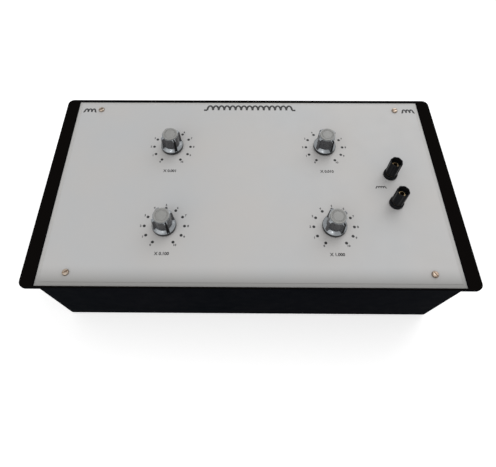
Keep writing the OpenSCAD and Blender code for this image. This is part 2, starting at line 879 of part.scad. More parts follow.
// Brass stud with the plug socket in its top and a cross hole for bare wire
module post_stud(i) {
    color("#c8a048") translate([post_places[i][0], post_places[i][1], 0]) difference() {
        translate([0, 0, stud_foot_z]) cylinder(r = post_stud_r, h = top_z + stud_top - stud_foot_z);
        translate([0, 0, top_z + stud_top - socket_depth])
            cylinder(r = socket_r, h = socket_depth + overcut);
        translate([0, 0, top_z + cross_hole_z]) rotate([0, 90, 0])
            cylinder(r = cross_hole_r, h = 4 * post_stud_r, center = true);
    }
}

// Captive washer under the screw cap
module clamp_washer(i) {
    color("#bfa05a") translate([post_places[i][0], post_places[i][1], top_z + washer_z])
        ring(clamp_washer_r, post_stud_r + thread_gap, clamp_washer_t);
}

// Fluted screw cap with an open well in its top
module post_cap(i) {
    color("#17191b") translate([post_places[i][0], post_places[i][1], top_z]) difference() {
        rotate_extrude() polygon([
            [post_stud_r + thread_gap, post_cap_z],
            [post_cap_r, post_cap_z],
            [post_cap_r, post_h],
            [well_r, post_h],
            [well_r, well_z],
            [post_stud_r + thread_gap, well_z]
        ]);
        for (k = [0:post_flutes - 1]) rotate(cap_turns[i] + k * 360 / post_flutes)
            translate([post_cap_r + flute_cut_r - flute_depth, 0, post_cap_z - overcut])
                cylinder(r = flute_cut_r, h = post_h - post_cap_z + 2 * overcut);
    }
}

// Rear insulators, washers, nuts and solder tags of both posts
module post_fixings() {
    bore = post_stud_r + running;
    for (p = post_places) translate([p[0], p[1], 0]) {
        color("#15171a") translate([0, 0, insulator_z]) ring(collar_r, bore, rear_insulator_t);
        color("#c8cacb") {
            translate([0, 0, post_washer_z]) ring(post_washer_r, bore, post_washer_t);
            for (z = [first_nut_z, second_nut_z]) translate([0, 0, z]) difference() {
                hexagon(post_nut_af, post_nut_h);
                translate([0, 0, -overcut]) cylinder(r = bore, h = post_nut_h + 2 * overcut);
            }
            translate([0, 0, tag_z]) difference() {
                union() {
                    cylinder(r = post_nut_af / 2, h = tag_t);
                    translate([-tag_len, -tag_w / 2, 0]) cube([tag_len, tag_w, tag_t]);
                }
                translate([0, 0, -overcut]) cylinder(r = bore, h = tag_t + 2 * overcut);
            }
        }
    }
}

// A wire along a route: one ring of corners at each point, square to its way there
function unit(v) = v / norm(v);
function heading(route, k) = unit(
    route[min(k + 1, len(route) - 1)] - route[max(k - 1, 0)]
);
function side_of(dir) = unit(cross(dir, abs(dir[2]) > 0.9 ? [1, 0, 0] : [0, 0, 1]));

module wire(route, r, sides = 8) {
    rings = len(route);
    points = [for (k = [0:rings - 1])
        let (dir = heading(route, k), u = side_of(dir), v = cross(dir, u))
        for (s = [0:sides - 1])
            let (a = 360 * s / sides)
            route[k] + r * (cos(a) * u + sin(a) * v)];
    faces = concat(
        [[for (s = [0:sides - 1]) s]],
        [[for (s = [sides - 1:-1:0]) (rings - 1) * sides + s]],
        [for (k = [0:rings - 2]) for (s = [0:sides - 1]) let (t = (s + 1) % sides)
            [k * sides + t, k * sides + s, (k + 1) * sides + s]],
        [for (k = [0:rings - 2]) for (s = [0:sides - 1]) let (t = (s + 1) % sides)
            [k * sides + t, (k + 1) * sides + s, (k + 1) * sides + t]]
    );
    polyhedron(points = points, faces = faces, convexity = 4);
}

// A smooth route between two points that leaves and arrives along given ways
function bezier(a, b, c, d, t) =
    (1 - t) ^ 3 * a + 3 * (1 - t) ^ 2 * t * b + 3 * (1 - t) * t ^ 2 * c + t ^ 3 * d;
function bend(a, leave, d, arrive, n = 12) =
    let (inner = [for (k = [1:n - 1]) k / n], steps = concat([0, end_share], inner, [1 - end_share, 1]))
    [for (t = steps) bezier(a, a + leave, d + arrive, d, t)];

// Tap looms from the cores, links from decade to decade, and the two output leads
module wiring() {
    drop = [0, 0, -link_sag];
    contact_z = wafer_z + wafer_t + contact_lift - wire_gap;
    color("#8f2f2a") for (i = [0:3]) {
        s = decade_side[i];
        winding_r = core_radii[i] * (1 - core_wall_share) - slack - former_t;
        start = [
            coil_places[i][0] + s * (winding_r + slack),
            coil_places[i][1],
            board_top + core_h(i) / 2
        ];
        way_out = [s * (core_radii[i] - winding_r + loom_r), 0, 0];
        end = [decade_places[i][0] - s * lug_r, decade_places[i][1], contact_z];
        wire(concat([start], bend(start + way_out, way_out, end, drop)), loom_r);
    }
    color("#20242a") {
        for (i = [0, 2]) {
            a = decade_places[i] + [0, -lug_r];
            b = decade_places[i + 1] + [0, -lug_r];
            wire(bend([a[0], a[1], contact_z], drop, [b[0], b[1], contact_z], drop, 16), lead_r);
        }
        for (k = [0, 1]) {
            a = decade_places[2 * k + 1] + [lug_r, 0];
            b = post_places[k] - [tag_len - 2 * lead_r, 0];
            wire(bend([a[0], a[1], contact_z], drop, [b[0], b[1], tag_z - wire_gap], drop),
                 lead_r);
        }
    }
}

case_tub();
thread_inserts();
rubber_feet();
foot_screws();
front_panel();
printed_film();
panel_screws();
coil_board();
board_fixings();
wiring();
knob(0);  // knob_units
knob(1);  // knob_tens
knob(2);  // knob_hundreds
knob(3);  // knob_thousands
knob_cap(0);  // knob_cap_units
knob_cap(1);  // knob_cap_tens
knob_cap(2);  // knob_cap_hundreds
knob_cap(3);  // knob_cap_thousands
grub_screw(0);  // grub_screw_units
grub_screw(1);  // grub_screw_tens
grub_screw(2);  // grub_screw_hundreds
grub_screw(3);  // grub_screw_thousands
switch_shaft(0);  // switch_shaft_units
switch_shaft(1);  // switch_shaft_tens
switch_shaft(2);  // switch_shaft_hundreds
switch_shaft(3);  // switch_shaft_thousands
rotor(0);  // rotor_units
rotor(1);  // rotor_tens
rotor(2);  // rotor_hundreds
rotor(3);  // rotor_thousands
switch_frame(0);  // switch_frame_units
switch_frame(1);  // switch_frame_tens
switch_frame(2);  // switch_frame_hundreds
switch_frame(3);  // switch_frame_thousands
wafer(0);  // wafer_units
wafer(1);  // wafer_tens
wafer(2);  // wafer_hundreds
wafer(3);  // wafer_thousands
bush_nuts();
index_springs();
wafer_contacts();
wafer_studs();
coil_core(0);  // coil_core_units
coil_core(1);  // coil_core_tens
coil_core(2);  // coil_core_hundreds
coil_core(3);  // coil_core_thousands
winding(0);  // winding_units
winding(1);  // winding_tens
winding(2);  // winding_hundreds
winding(3);  // winding_thousands
post_collar(0);  // post_collar_rear
post_collar(1);  // post_collar_front
post_stud(0);  // post_stud_rear
post_stud(1);  // post_stud_front
clamp_washer(0);  // clamp_washer_rear
clamp_washer(1);  // clamp_washer_front
post_cap(0);  // post_cap_rear
post_cap(1);  // post_cap_front
post_fixings();
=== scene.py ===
"""Finishes, print, knobs, posts and studio of an inductance decade box, round its packed solids."""

import json
import math

import bmesh
import bpy
from mathutils import Matrix, Vector


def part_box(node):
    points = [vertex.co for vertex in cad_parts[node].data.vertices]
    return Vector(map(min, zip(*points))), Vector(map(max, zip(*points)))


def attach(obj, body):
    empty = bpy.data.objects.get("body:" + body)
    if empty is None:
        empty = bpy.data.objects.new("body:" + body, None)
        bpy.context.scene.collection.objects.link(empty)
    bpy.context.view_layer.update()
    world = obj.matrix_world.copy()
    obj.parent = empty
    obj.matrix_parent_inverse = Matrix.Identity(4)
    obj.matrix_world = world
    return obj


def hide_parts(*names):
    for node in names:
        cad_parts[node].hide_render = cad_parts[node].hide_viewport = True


bl_info = {
    "name": "Inductance Decade Box",
    "version": (1, 0, 0),
    "blender": (4, 5, 0),
    "location": "3D View > Sidebar > Decade Box",
    "description": "Builds the finishes, print, knobs and posts of a decade box round its solids",
    "category": "Object",
}

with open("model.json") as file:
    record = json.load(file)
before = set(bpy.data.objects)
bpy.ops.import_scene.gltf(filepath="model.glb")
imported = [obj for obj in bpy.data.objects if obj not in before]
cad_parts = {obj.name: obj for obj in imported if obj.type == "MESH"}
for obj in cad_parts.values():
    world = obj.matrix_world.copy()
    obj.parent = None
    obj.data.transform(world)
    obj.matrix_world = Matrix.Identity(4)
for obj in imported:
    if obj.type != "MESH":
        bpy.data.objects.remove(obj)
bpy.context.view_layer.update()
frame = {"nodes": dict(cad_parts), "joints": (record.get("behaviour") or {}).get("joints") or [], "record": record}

MM = 0.001
SAME_POINT = 0.001 * MM
MULTIPLIERS = {"units": "X 0.001", "tens": "X 0.010", "hundreds": "X 0.100", "thousands": "X 1.000"}
JOINTS = {joint["name"]: joint for joint in frame["joints"]}
FILM_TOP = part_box("printed_film")[1].z
PANEL_LOW, PANEL_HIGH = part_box("front_panel")
CASE_LOW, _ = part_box("case_tub")
# printed coils in mm: number of humps, half width of one, its height over that, lead, line, place
COIL_SIGNS = {
    "title_coil": (15, 3, 2, 3.6, 2.1, (2.1, 90.6)),
    "left_coil": (3, 1.9, 2.2, 1.2, 1.7, (-167.6, 87.6)),
    "right_coil": (3, 1.9, 2.2, 1.2, 1.7, (169.3, 87.6)),
    "output_coil": (4, 1.1, 1.8, 1, 0.8, (125, -5.5)),
}
# lamps: the setting of their power, then side and place in metres
LAMPS = {
    "key_lamp": ("key_power", 1.8, (0.9, 1.3, 1.7)),
    "side_lamp": ("side_power", 1.7, (-0.8, -1.0, 1.5)),
    "gleam_lamp": ("gleam_power", 0.3, (-0.4, -1.15, 1.7)),
}
FLOOR_REACH = 6  # metres from the middle to each side


def axis_of(joint):
    """Where a joint's upright axis meets the printed film."""
    x, y, _ = JOINTS[joint]["pos_m"]
    return Vector((x, y, FILM_TOP))


def srgb(code):
    """Linear colour with alpha from an sRGB hex value."""
    parts = [int(code[i : i + 2], 16) / 255 for i in (1, 3, 5)]
    linear = [p / 12.92 if p <= 0.04045 else ((p + 0.055) / 1.055) ** 2.4 for p in parts]
    return (*linear, 1.0)


def length(label, about, millimetres):
    """A length that a user may change, given in millimetres and kept in metres."""
    return bpy.props.FloatProperty(
        name=label, description=about, default=millimetres * MM, min=0, unit="LENGTH", precision=5
    )


def angle(label, about, degrees):
    """An angle that a user may change, given in degrees."""
    return bpy.props.FloatProperty(
        name=label, description=about, default=math.radians(degrees), subtype="ANGLE"
    )


def power(label, about, watts):
    """A lamp's power that a user may change, given in watts."""
    return bpy.props.FloatProperty(name=label, description=about, default=watts, subtype="POWER")


def colour(label, about, code):
    """A colour that a user may change, given as an sRGB hex value."""
    return bpy.props.FloatVectorProperty(
        name=label, description=about, default=srgb(code), size=4, min=0, max=1, subtype="COLOR"
    )


class CaseSettings(bpy.types.PropertyGroup):
    """Case, panel sheet and printed film."""

    edge: length("Edge rounding", "Radius of the case's moulded edges", 0.45)
    sheet_edge: length("Sheet edge", "Radius of the panel sheet's deburred edges", 0.15)
    plastic: colour("Case plastic", "Colour of the moulded case's walls", "#06080c")
    # Painted sheen: the case's upward faces are coloured browner and lighter than its walls, as light falls on
    # them
    worn: colour("Worn plastic", "Colour of the case's upper faces", "#0e0c0b")
    # Painted shade: a dark strip coloured along the sheet's back edge, where it meets the rim; its colour and its
    # width
    seam: colour("Seam", "Colour of the sealed joint behind the panel", "#2c2a28")
    seam_width: length("Seam width", "Width of the sealed joint on the sheet's back edge", 1.1)
    enamel: colour("Panel enamel", "Colour of the sheet round the film", "#bab9b7")
    film: colour("Film", "Colour of the printed film", "#bcbab8")
    film_cool: colour("Film, cool patches", "Colour of the film's cooler patches", "#b8b9ba")
    # Painted shade: the film and the sheet are coloured darker towards the panel's front edge; these three
    # settings give its colour, how far it runs back and where it is full
    film_shade: colour("Film, front edge", "Colour of the film at its front edge", "#8f8e8c")
    shade_run: length("Front shade", "How far the darker print runs back from the front edge", 19)
    shade_full: length("Full shade", "How far from the front edge the print is at its darkest", 3)


class PrintSettings(bpy.types.PropertyGroup):
    """Black print on the film."""

    ink: colour("Ink", "Colour of the dots and symbols", "#0a0a0c")
    number_ink: colour("Number ink", "Colour of the thin dial numbers", "#2c2c2e")
    thickness: length("Ink thickness", "How far the print stands on the film", 0.03)
    dot_radius: length("Dot radius", "Radius of a dial dot", 1.36)
    dot_ring: length("Dot ring", "Distance of the dots from the dial's centre", 18.1)
    number_ring: length("Number ring", "Distance of the numbers from the dial's centre", 21.3)
    number_height: length("Number size", "Type size of the dial numbers", 2.9)
    rear_drop: length("Rear label drop", "From a rear dial's centre to its multiplier", 29.1)
    front_drop: length("Front label drop", "From a front dial's centre to its multiplier", 26.6)
    label_height: length("Label size", "Type size of the multipliers", 4)
    bold: length("Boldness", "How far the numbers' strokes are thickened", 0.11)
    label_bold: length("Label boldness", "How far the multipliers' strokes are thickened", 0.14)
    first: angle("First mark", "Angle of dial mark 0, anticlockwise from +X", 240)
    step: angle("Step", "Angle from one dial mark to the next", 30)
    marks: bpy.props.IntProperty(name="Marks", description="Number of dial marks", default=11)


class KnobSettings(bpy.types.PropertyGroup):
    """Pointer knobs and their caps."""

    gap: length("Gap", "Gap between knob and film", 0.8)
    skirt_radius: length("Skirt radius", "Radius of the skirt", 10.9)
    skirt_top: length("Skirt edge", "Height of the top of the skirt's upright edge", 3.8)
    crown_top: length("Crown top", "Height of the top of the skirt's rounded slope", 6.3)
    crown: bpy.props.FloatProperty(
        name="Crown", description="How full the skirt's slope is; 1 is a plain cone", default=1.3
    )
    height: length("Height", "Height of the moulding's top", 20)
    lobe_radius: length("Lobe radius", "Radius of the lobes at the top", 9.5)
    lobe_foot: length("Lobe foot", "Radius of the lobes at the skirt", 10.3)
    lobe_width: length("Lobe width", "Width of a lobe", 2.8)
    lobe_fillet: length("Lobe fillet", "Radius of the hollow where a lobe meets the hub", 1.2)
    lobe_top: length("Lobe top", "Height at which a lobe's slanted top begins", 18.8)
    hub_radius: length("Hub radius", "Radius of the round hub between the lobes", 7.7)
    cap_radius: length("Cap radius", "Radius of the cap", 7.2)
    cap_height: length("Cap height", "Height of the cap's ring", 1.2)
    pointer_left: angle("Left pointers", "Rest angle of the left pointers", 300)
    pointer_right: angle("Right pointers", "Rest angle of the right pointers", 303)
    silver: colour("Silver", "Colour of the sloping faces", "#8f9396")
    # Painted reflection: upright faces are coloured darker, as they mirror the dark surroundings, while sloping
    # faces keep the silver
    smoke: colour("Smoke", "Colour of the upright faces", "#47474a")
    # Painted shade: the skirt's upright edge is coloured dark, as it stands in the shade of the gap under the knob
    rim: colour("Rim", "Colour of the skirt's upright edge", "#1c1c20")
    cap: colour("Cap", "Colour of the spun cap", "#8d8d8b")


class PostSettings(bpy.types.PropertyGroup):
    """Binding posts."""

    collar_radius: length("Collar radius", "Radius of the collar", 6.6)
    collar_height: length("Collar height", "Height of the collar", 4)
    bore: length("Bore", "Radius of the bore round the stud", 3.08)
    spigot_radius: length("Spigot radius", "Radius of the collar's spigot through the panel", 4.4)
    cap_radius: length("Cap radius", "Radius of the screw cap", 5.8)
    cap_foot: length("Cap foot", "Height of the screw cap's underside", 5.2)
    cap_top: length("Cap top", "Height of the screw cap's top", 22)
    well_radius: length("Well radius", "Radius of the open well", 4.6)
    well_floor: length("Well floor", "Height of the well's floor", 16.4)
    flutes: bpy.props.IntProperty(name="Flutes", description="Flutes round the cap", default=8)
    flute_radius: length("Flute radius", "Radius of a flute", 5)
    flute_depth: length("Flute depth", "Depth of a flute", 0.5)
    rear_turn: angle("Rear cap's turn", "How far the rear cap is turned from the front one", -10)
    plastic: colour("Plastic", "Colour of the posts", "#0f1013")
    brass: colour("Brass", "Colour of the turned brass", "#8f7f64")


class ScrewSettings(bpy.types.PropertyGroup):
    """Panel screws."""

    head_radius: length("Head radius", "Radius of the pan head", 3)
    head_height: length("Head height", "Height of the pan head", 1.9)
    shank_radius: length("Shank radius", "Radius of the shank under the head", 1.45)
    slot_width: length("Slot width", "Width of the driver slot", 0.8)
    slot_depth: length("Slot depth", "Depth of the driver slot", 0.9)
    metal: colour("Metal", "Colour of the plated heads", "#b3a698")


class StageSettings(bpy.types.PropertyGroup):
    """Floor, light and camera."""

    floor: colour("Floor", "Colour of the floor", "#f4f4f4")
    fill: bpy.props.FloatProperty(name="Fill", description="Plain light all round", default=0.56)
    key_power: power("Key", "Power of the soft lamp behind on the right", 15)
    side_power: power("Side", "Power of the lamp in front on the left", 9)
    gleam_power: power("Gleam", "Power of the small lamp that gleams in the knobs", 2.4)


SETTINGS = {
    "decade_case": CaseSettings,
    "decade_print": PrintSettings,
    "decade_knobs": KnobSettings,
    "decade_posts": PostSettings,
    "decade_screws": ScrewSettings,
    "decade_stage": StageSettings,
}


def add(tree, kind, links=None, **options):
    """Adds a node, sets its options, and links or sets its inputs.

    A source is a socket, a node, which stands for its first output, or a plain value.
    """
    node = tree.nodes.new(kind)
    for key, value in options.items():
        setattr(node, key, value)
    for socket, source in (links or {}).items():
        if isinstance(source, bpy.types.Node):
            source = source.outputs[0]
        if isinstance(source, bpy.types.NodeSocket):
            tree.links.new(source, node.inputs[socket])
        else:
            node.inputs[socket].default_value = source
    return node


def settings(group):
    """One group of this scene's settings."""
    return getattr(bpy.context.scene, group)


# Finishes

MIX_A, MIX_B, MIX_RESULT = 6, 7, 2  # the colour sockets of a Mix node
PATCH_RANGE = {"From Min": 0.3, "From Max": 0.7}  # where most of a noise's values lie
WEAR_SHARE = 1 / 6  # size of a finish's patches of gloss over that of its patches of colour


def finish(name, base, second, patch=25, rough=(0.4, 0.5), grain=0.3, height=0.004, **uniform):
    """A finish with patches of a second colour, uneven roughness and a fine grain.

    base and second are settings or sRGB hex values. patch and grain are sizes in millimetres, and
    height is the grain's depth in millimetres. A real grain of a few hundredths is too fine to
    show, so it is drawn as coarse as it needs to. The other values go to the shader's sockets of
    those names.
    """
    base, second = (srgb(code) if isinstance(code, str) else code for code in (base, second))
    material = bpy.data.materials.new(name)
    material.use_nodes = True
    tree = material.node_tree
    shader = tree.nodes["Principled BSDF"]
    for socket, value in uniform.items():
        shader.inputs[socket.replace("_", " ")].default_value = value
    place = add(tree, "ShaderNodeTexCoord").outputs["Object"]
    patches, wear, grains = (
        add(tree, "ShaderNodeTexNoise", {"Vector": place, "Scale": 1 / (size * MM), "Detail": 2.0})
        for size in (patch, patch * WEAR_SHARE, grain)
    )
    share = add(tree, "ShaderNodeMapRange", {"Value": patches, **PATCH_RANGE})
    links = {"Factor": share, MIX_A: base, MIX_B: second}
    mix = add(tree, "ShaderNodeMix", links, data_type="RGBA")
    links = {"Value": wear, **PATCH_RANGE, "To Min": rough[0], "To Max": rough[1]}
    gloss = add(tree, "ShaderNodeMapRange", links)
    bump = add(tree, "ShaderNodeBump", {"Height": grains, "Distance": height * MM, "Strength": 1.0})
    tree.links.new(mix.outputs[MIX_RESULT], shader.inputs["Base Color"])
    tree.links.new(gloss.outputs["Result"], shader.inputs["Roughness"])
    tree.links.new(bump.outputs["Normal"], shader.inputs["Normal"])
    return material


def read(material, output, axis):
    """One coordinate of a finish's surface: of its place (Object) or its direction (Normal)."""
    point = add(material.node_tree, "ShaderNodeTexCoord").outputs[output]
    return add(material.node_tree, "ShaderNodeSeparateXYZ", {"Vector": point}).outputs[axis]


def painted(material, value, start, full, cover, exponent=1.0):
    """Covers a finish's colour with another, from where value is start to where it is full."""
    tree = material.node_tree
    target = tree.nodes["Principled BSDF"].inputs["Base Color"]
    share = add(tree, "ShaderNodeMapRange", {"Value": value, "From Min": start, "From Max": full})
    share = add(tree, "ShaderNodeMath", {0: share, 1: exponent}, operation="POWER")
    links = {"Factor": share, MIX_A: target.links[0].from_socket, MIX_B: cover}
    mix = add(tree, "ShaderNodeMix", links, data_type="RGBA")
    tree.links.new(mix.outputs[MIX_RESULT], target)
    return material


def ridged(material, place, pitch, depth):
    """Gives a finish even ridges along a coordinate; pitch and depth are in millimetres."""
    tree = material.node_tree
    turns = {0: place, 1: math.tau / (pitch * MM)}
    turns = add(tree, "ShaderNodeMath", turns, operation="MULTIPLY")
    wave = add(tree, "ShaderNodeMath", {0: turns}, operation="SINE")
    bump = add(tree, "ShaderNodeBump", {"Height": wave, "Distance": depth * MM, "Strength": 1.0})
    tree.links.new(bump.outputs["Normal"], tree.nodes["Principled BSDF"].inputs["Normal"])
    return material


def moulded_case():
    """ABS from an eroded steel tool: near black with a fine grain, with a painted brown sheen on its upper faces.
    """
    look = settings("decade_case")
    case = finish(
        "moulded_abs_case", look.plastic, "#0a0b0f", patch=60, rough=(0.5, 0.6), grain=0.5,
        height=0.01, Specular_IOR_Level=0.001,
    )
    # painted sheen: faces that look up get the lighter brown colour
    sloping, level = 0.3, 0.9  # how far a face looks up
    return painted(case, read(case, "Normal", "Z"), sloping, level, look.worn)


def front_shade(material):
    """Paints shade into a finish's colour towards the panel's front edge, slowly at first."""
    look = settings("decade_case")
    start, full = PANEL_LOW.y + look.shade_run, PANEL_LOW.y + look.shade_full
    place = read(material, "Object", "Y")
    return painted(material, place, start, full, look.film_shade, exponent=1.6)


def panel_enamel():
    """Stoved enamel on sheet aluminium: smooth and satin, with painted shade along its back edge under the rim and
    towards its front edge.
    """
    look = settings("decade_case")
    enamel = finish("stoved_enamel", look.enamel, "#b5b4b2", patch=20, rough=(0.35, 0.45))
    # painted shade towards the front edge
    front_shade(enamel)
    # painted shade along the back edge, where the sheet meets the rim
    joint, fade = PANEL_HIGH.y - look.seam_width, 0.4 * MM
    return painted(enamel, read(enamel, "Object", "Y"), joint, joint + fade, look.seam)


def printed_film():
    """Polyester film printed on its back: satin, faintly mottled, with painted shade towards its front edge."""
    look = settings("decade_case")
    film = finish(
        "printed_polyester_film", look.film, look.film_cool, patch=70, rough=(0.38, 0.48),
        grain=0.8, height=0.003,
    )
    return front_shade(film)


def print_ink(name, code):
    """Screen ink: matt, thin, slightly uneven."""
    return finish(name, code, "#1e1e20", patch=1.5, rough=(0.5, 0.6), grain=0.1, height=0.002)


def silvered_knob():
    """ABS with a vapour-coated silver skin, with a painted dark reflection on the upright walls and painted shade
    on the skirt's upright edge.
    """
    look = settings("decade_knobs")
    skin = finish(
        "silvered_abs", look.silver, "#83878b", patch=6, rough=(0.25, 0.29), grain=0.5,
        height=0.0003, Metallic=0.5, Coat_Weight=0.2, Coat_Roughness=0.1,
    )
    # painted reflection: upright faces get the darker colour
    sloping, upright = 0.5, 0.12  # how far a face looks up
    painted(skin, read(skin, "Normal", "Z"), sloping, upright, look.smoke)
    tree = skin.node_tree
    local = add(tree, "ShaderNodeAttribute", attribute_name="local").outputs["Vector"]
    height = add(tree, "ShaderNodeSeparateXYZ", {"Vector": local}).outputs["Z"]
    # painted shade on the skirt's upright edge, below its slope
    silver, dark = look.skirt_top + 0.55 * MM, look.skirt_top + 0.1 * MM
    return painted(skin, height, silver, dark, look.rim)


def spun_cap():
    """Aluminium turned on a lathe: rings round the knob's axis, drawn coarser than the cut's own."""
    skin = finish(
        "spun_aluminium", settings("decade_knobs").cap, "#898987", patch=3, rough=(0.45, 0.55),
        grain=0.2, height=0.001, Metallic=0.25,
    )
    tree = skin.node_tree
    local = add(tree, "ShaderNodeAttribute", attribute_name="local").outputs["Vector"]
    flat = add(tree, "ShaderNodeVectorMath", {0: local, 1: (1, 1, 0)}, operation="MULTIPLY")
    reach = add(tree, "ShaderNodeVectorMath", {0: flat}, operation="LENGTH").outputs["Value"]
    return ridged(skin, reach, 0.35, 0.002)


def post_plastic():
    """Phenolic moulding powder pressed hot: black and glossy, dulled by handling."""
    return finish(
        "pressed_phenolic", settings("decade_posts").plastic, "#151618", patch=4,
        rough=(0.22, 0.36), grain=0.25, Specular_IOR_Level=0.06,
    )


def turned_brass():
    """Free-cutting brass off a lathe, slightly tarnished."""
    return finish(
        "turned_brass", settings("decade_posts").brass, "#6f5d41", patch=3, rough=(0.22, 0.36),
        grain=0.2, height=0.002, Metallic=1.0,
    )


def plated_screw():
    """Nickel-plated steel, warmed by age: bright and smooth."""
    return finish(
        "nickel_plated_steel", settings("decade_screws").metal, "#7f6d60", patch=2.5,
        rough=(0.16, 0.3), grain=0.2, height=0.002, Metallic=1.0,
    )


def zinc_steel():
    """Zinc-plated steel: cool grey with cloudy patches."""
    return finish(
        "zinc_plated_steel", "#b4b7b9", "#9da1a4", patch=5, rough=(0.25, 0.4), Metallic=1.0
    )


def foot_rubber():
    """Black vulcanised rubber: matt and dusty."""
    return finish(
        "vulcanised_rubber", "#171717", "#242322", patch=4, rough=(0.75, 0.9), height=0.01
    )


def paper_laminate():
    """Paper and phenolic resin laminate: brown, with the weave of the paper showing through."""
    return finish(
        "paper_laminate", "#83501f", "#6b3f17", patch=3, rough=(0.35, 0.5), grain=0.5, height=0.005
    )


def rotor_resin():
    """Melamine moulding of the switch rotor: straw-coloured and satin."""
    return finish("melamine_rotor", "#cdb384", "#bda273", patch=5, rough=(0.3, 0.45))


def sintered_ferrite():
    """Pressed and sintered ferrite: dark grey, with the fine pits of the powder."""
    return finish(
        "sintered_ferrite", "#2d2e32", "#393a3e", patch=2, rough=(0.55, 0.7), height=0.012
    )


def enamelled_copper():
    """Winding of enamelled copper wire: the turns show as fine ridges up the coil."""
    skin = finish(
        "enamelled_copper", "#a4561f", "#8a4518", patch=4, rough=(0.25, 0.35), Metallic=0.7
    )
    return ridged(skin, read(skin, "Object", "Z"), 0.5, 0.1)


def silvered_contact():
    """Spring brass with a thin coat of silver, yellowed at its edges."""
    return finish(
        "silvered_spring_brass", "#d3ccb4", "#b9a878", patch=2, rough=(0.2, 0.35), Metallic=1.0
    )


def wire_sleeve():
    """Woven cotton sleeve over the tap wires: dull red, its threads showing as a coarse grain."""
    return finish(
        "woven_sleeve", "#7c2a24", "#5f1f1b", patch=2, rough=(0.7, 0.85), grain=0.4, height=0.05
    )


def pointer_paint():
    """Black paint wiped into the pointer groove: matt, with a little sheen."""
    return finish(
        "pointer_paint", "#060607", "#101012", patch=1, rough=(0.45, 0.6), grain=0.1,
        height=0.003, Specular_IOR_Level=0.1,
    )


FINISHES = {
    "moulded_case": moulded_case,
    "panel_metal": panel_enamel,
    "panel_film": printed_film,
    "knob_plastic": silvered_knob,
    "cap_metal": spun_cap,
    "post_plastic": post_plastic,
    "brass": turned_brass,
    "zinc_steel": zinc_steel,
    "foot_rubber": foot_rubber,
    "phenolic_board": paper_laminate,
    "rotor_plastic": rotor_resin,
    "ferrite": sintered_ferrite,
    "copper_winding": enamelled_copper,
    "silvered_brass": silvered_contact,
    "wire_sleeve": wire_sleeve,
}
made = {}


def material_of(slot):
    """The finish of a record's slot, made once."""
    if slot not in made:
        made[slot] = FINISHES[slot]()
    return made[slot]


# Meshes

MOST_FILLET = 0.45  # of a side, so that the fillets at its two ends never meet


def object_of(mesh, name, material, smooth=30):
    """A new object from a bmesh or a mesh, smooth up to that many degrees."""
    if isinstance(mesh, bmesh.types.BMesh):
        data = bpy.data.meshes.new(name)
        bmesh.ops.recalc_face_normals(mesh, faces=mesh.faces)
        mesh.to_mesh(data)
        mesh.free()
    else:
        data = mesh
        data.name = name
    data.materials.clear()
    data.materials.append(material)
    data.shade_smooth()
    data.set_sharp_from_angle(angle=math.radians(smooth))
    piece = bpy.data.objects.new(name, data)
    bpy.context.scene.collection.objects.link(piece)
    return piece


def fitted(mesh, name, body, slot, *nodes, skin=None, smooth=30):
    """Skins a piece in its slot's finish or another, rides it, and stands it for its solids."""
    piece = object_of(mesh, name, skin or material_of(slot), smooth)
    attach(piece, body)
    if nodes:
        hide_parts(*nodes)


def rounded(corners, steps=3):
    """Outline through (radius, height, fillet) corners, with each fillet drawn as a short curve."""
    outline = []
    count = len(corners)
    for k, (x, z, fillet) in enumerate(corners):
        here = Vector((x, z))
        if fillet == 0:
            outline.append(here)
            continue
        before = Vector(corners[k - 1][:2]) - here
        after = Vector(corners[(k + 1) % count][:2]) - here
        reach = min(fillet, MOST_FILLET * before.length, MOST_FILLET * after.length)
        start, end = before.normalized() * reach, after.normalized() * reach
        for step in range(steps + 1):
            t = step / steps
            outline.append(here + (1 - t) ** 2 * start + t**2 * end)
    return outline


def spread(*marks):
    """Values that run from each mark's value to the next in that mark's number of steps."""
    values = []
    for (low, steps), (high, _) in zip(marks, marks[1:]):
        values += [low + (high - low) * k / steps for k in range(steps)]
    return values + [marks[-1][0]]


def turned(outline, centre, rule=None, turns=96):
    """Mesh of an outline of (radius, height) points turned about an upright axis.

    turns is the number of even steps round, or the list of their angles.
    rule(radius, height, angle) moves a point in or out, as flutes do. An outline that doesn't
    start on the axis is closed on itself, as a ring's is. Each point keeps its place about the
    axis in the attribute local.
    """
    if isinstance(turns, int):
        turns = [math.tau * k / turns for k in range(turns)]
    mesh = bmesh.new()
    local = mesh.verts.layers.float_vector.new("local")
    rings = []
    for radius, height in outline:
        ring = []
        for turn in turns if radius > 0 else turns[:1]:
            reach = rule(radius, height, turn) if rule else radius
            offset = Vector((reach * math.cos(turn), reach * math.sin(turn), height))
            point = mesh.verts.new(centre + offset)
            point[local] = offset
            ring.append(point)
        rings.append(ring)
    pairs = list(zip(rings, rings[1:]))
    if outline[0][0] > 0:
        pairs.append((rings[-1], rings[0]))
    for low, high in pairs:
        for k in range(len(turns)):
            n = k + 1
            corners = low[k % len(low)], low[n % len(low)], high[n % len(high)], high[k % len(high)]
            corners = tuple(dict.fromkeys(corners))
            if len(corners) > 2:
                mesh.faces.new(corners)
    return mesh


def softened(node, width, chosen):
    """A copy of a solid, merged, with the chosen sharp edges rounded."""
    flat, sharp = math.radians(1), math.radians(40)
    mesh = bmesh.new()
    mesh.from_mesh(frame["nodes"][node].data)
    bmesh.ops.remove_doubles(mesh, verts=mesh.verts, dist=SAME_POINT)
    bmesh.ops.dissolve_limit(
        mesh, angle_limit=flat, verts=mesh.verts, edges=mesh.edges, delimit={"NORMAL"}
    )
    closed = [edge for edge in mesh.edges if len(edge.link_faces) == 2]
    edges = [edge for edge in closed if edge.calc_face_angle() > sharp and chosen(edge)]
    bmesh.ops.bevel(
        mesh, geom=edges, offset=width, segments=3, profile=0.5, affect="EDGES", clamp_overlap=False
    )
    return mesh


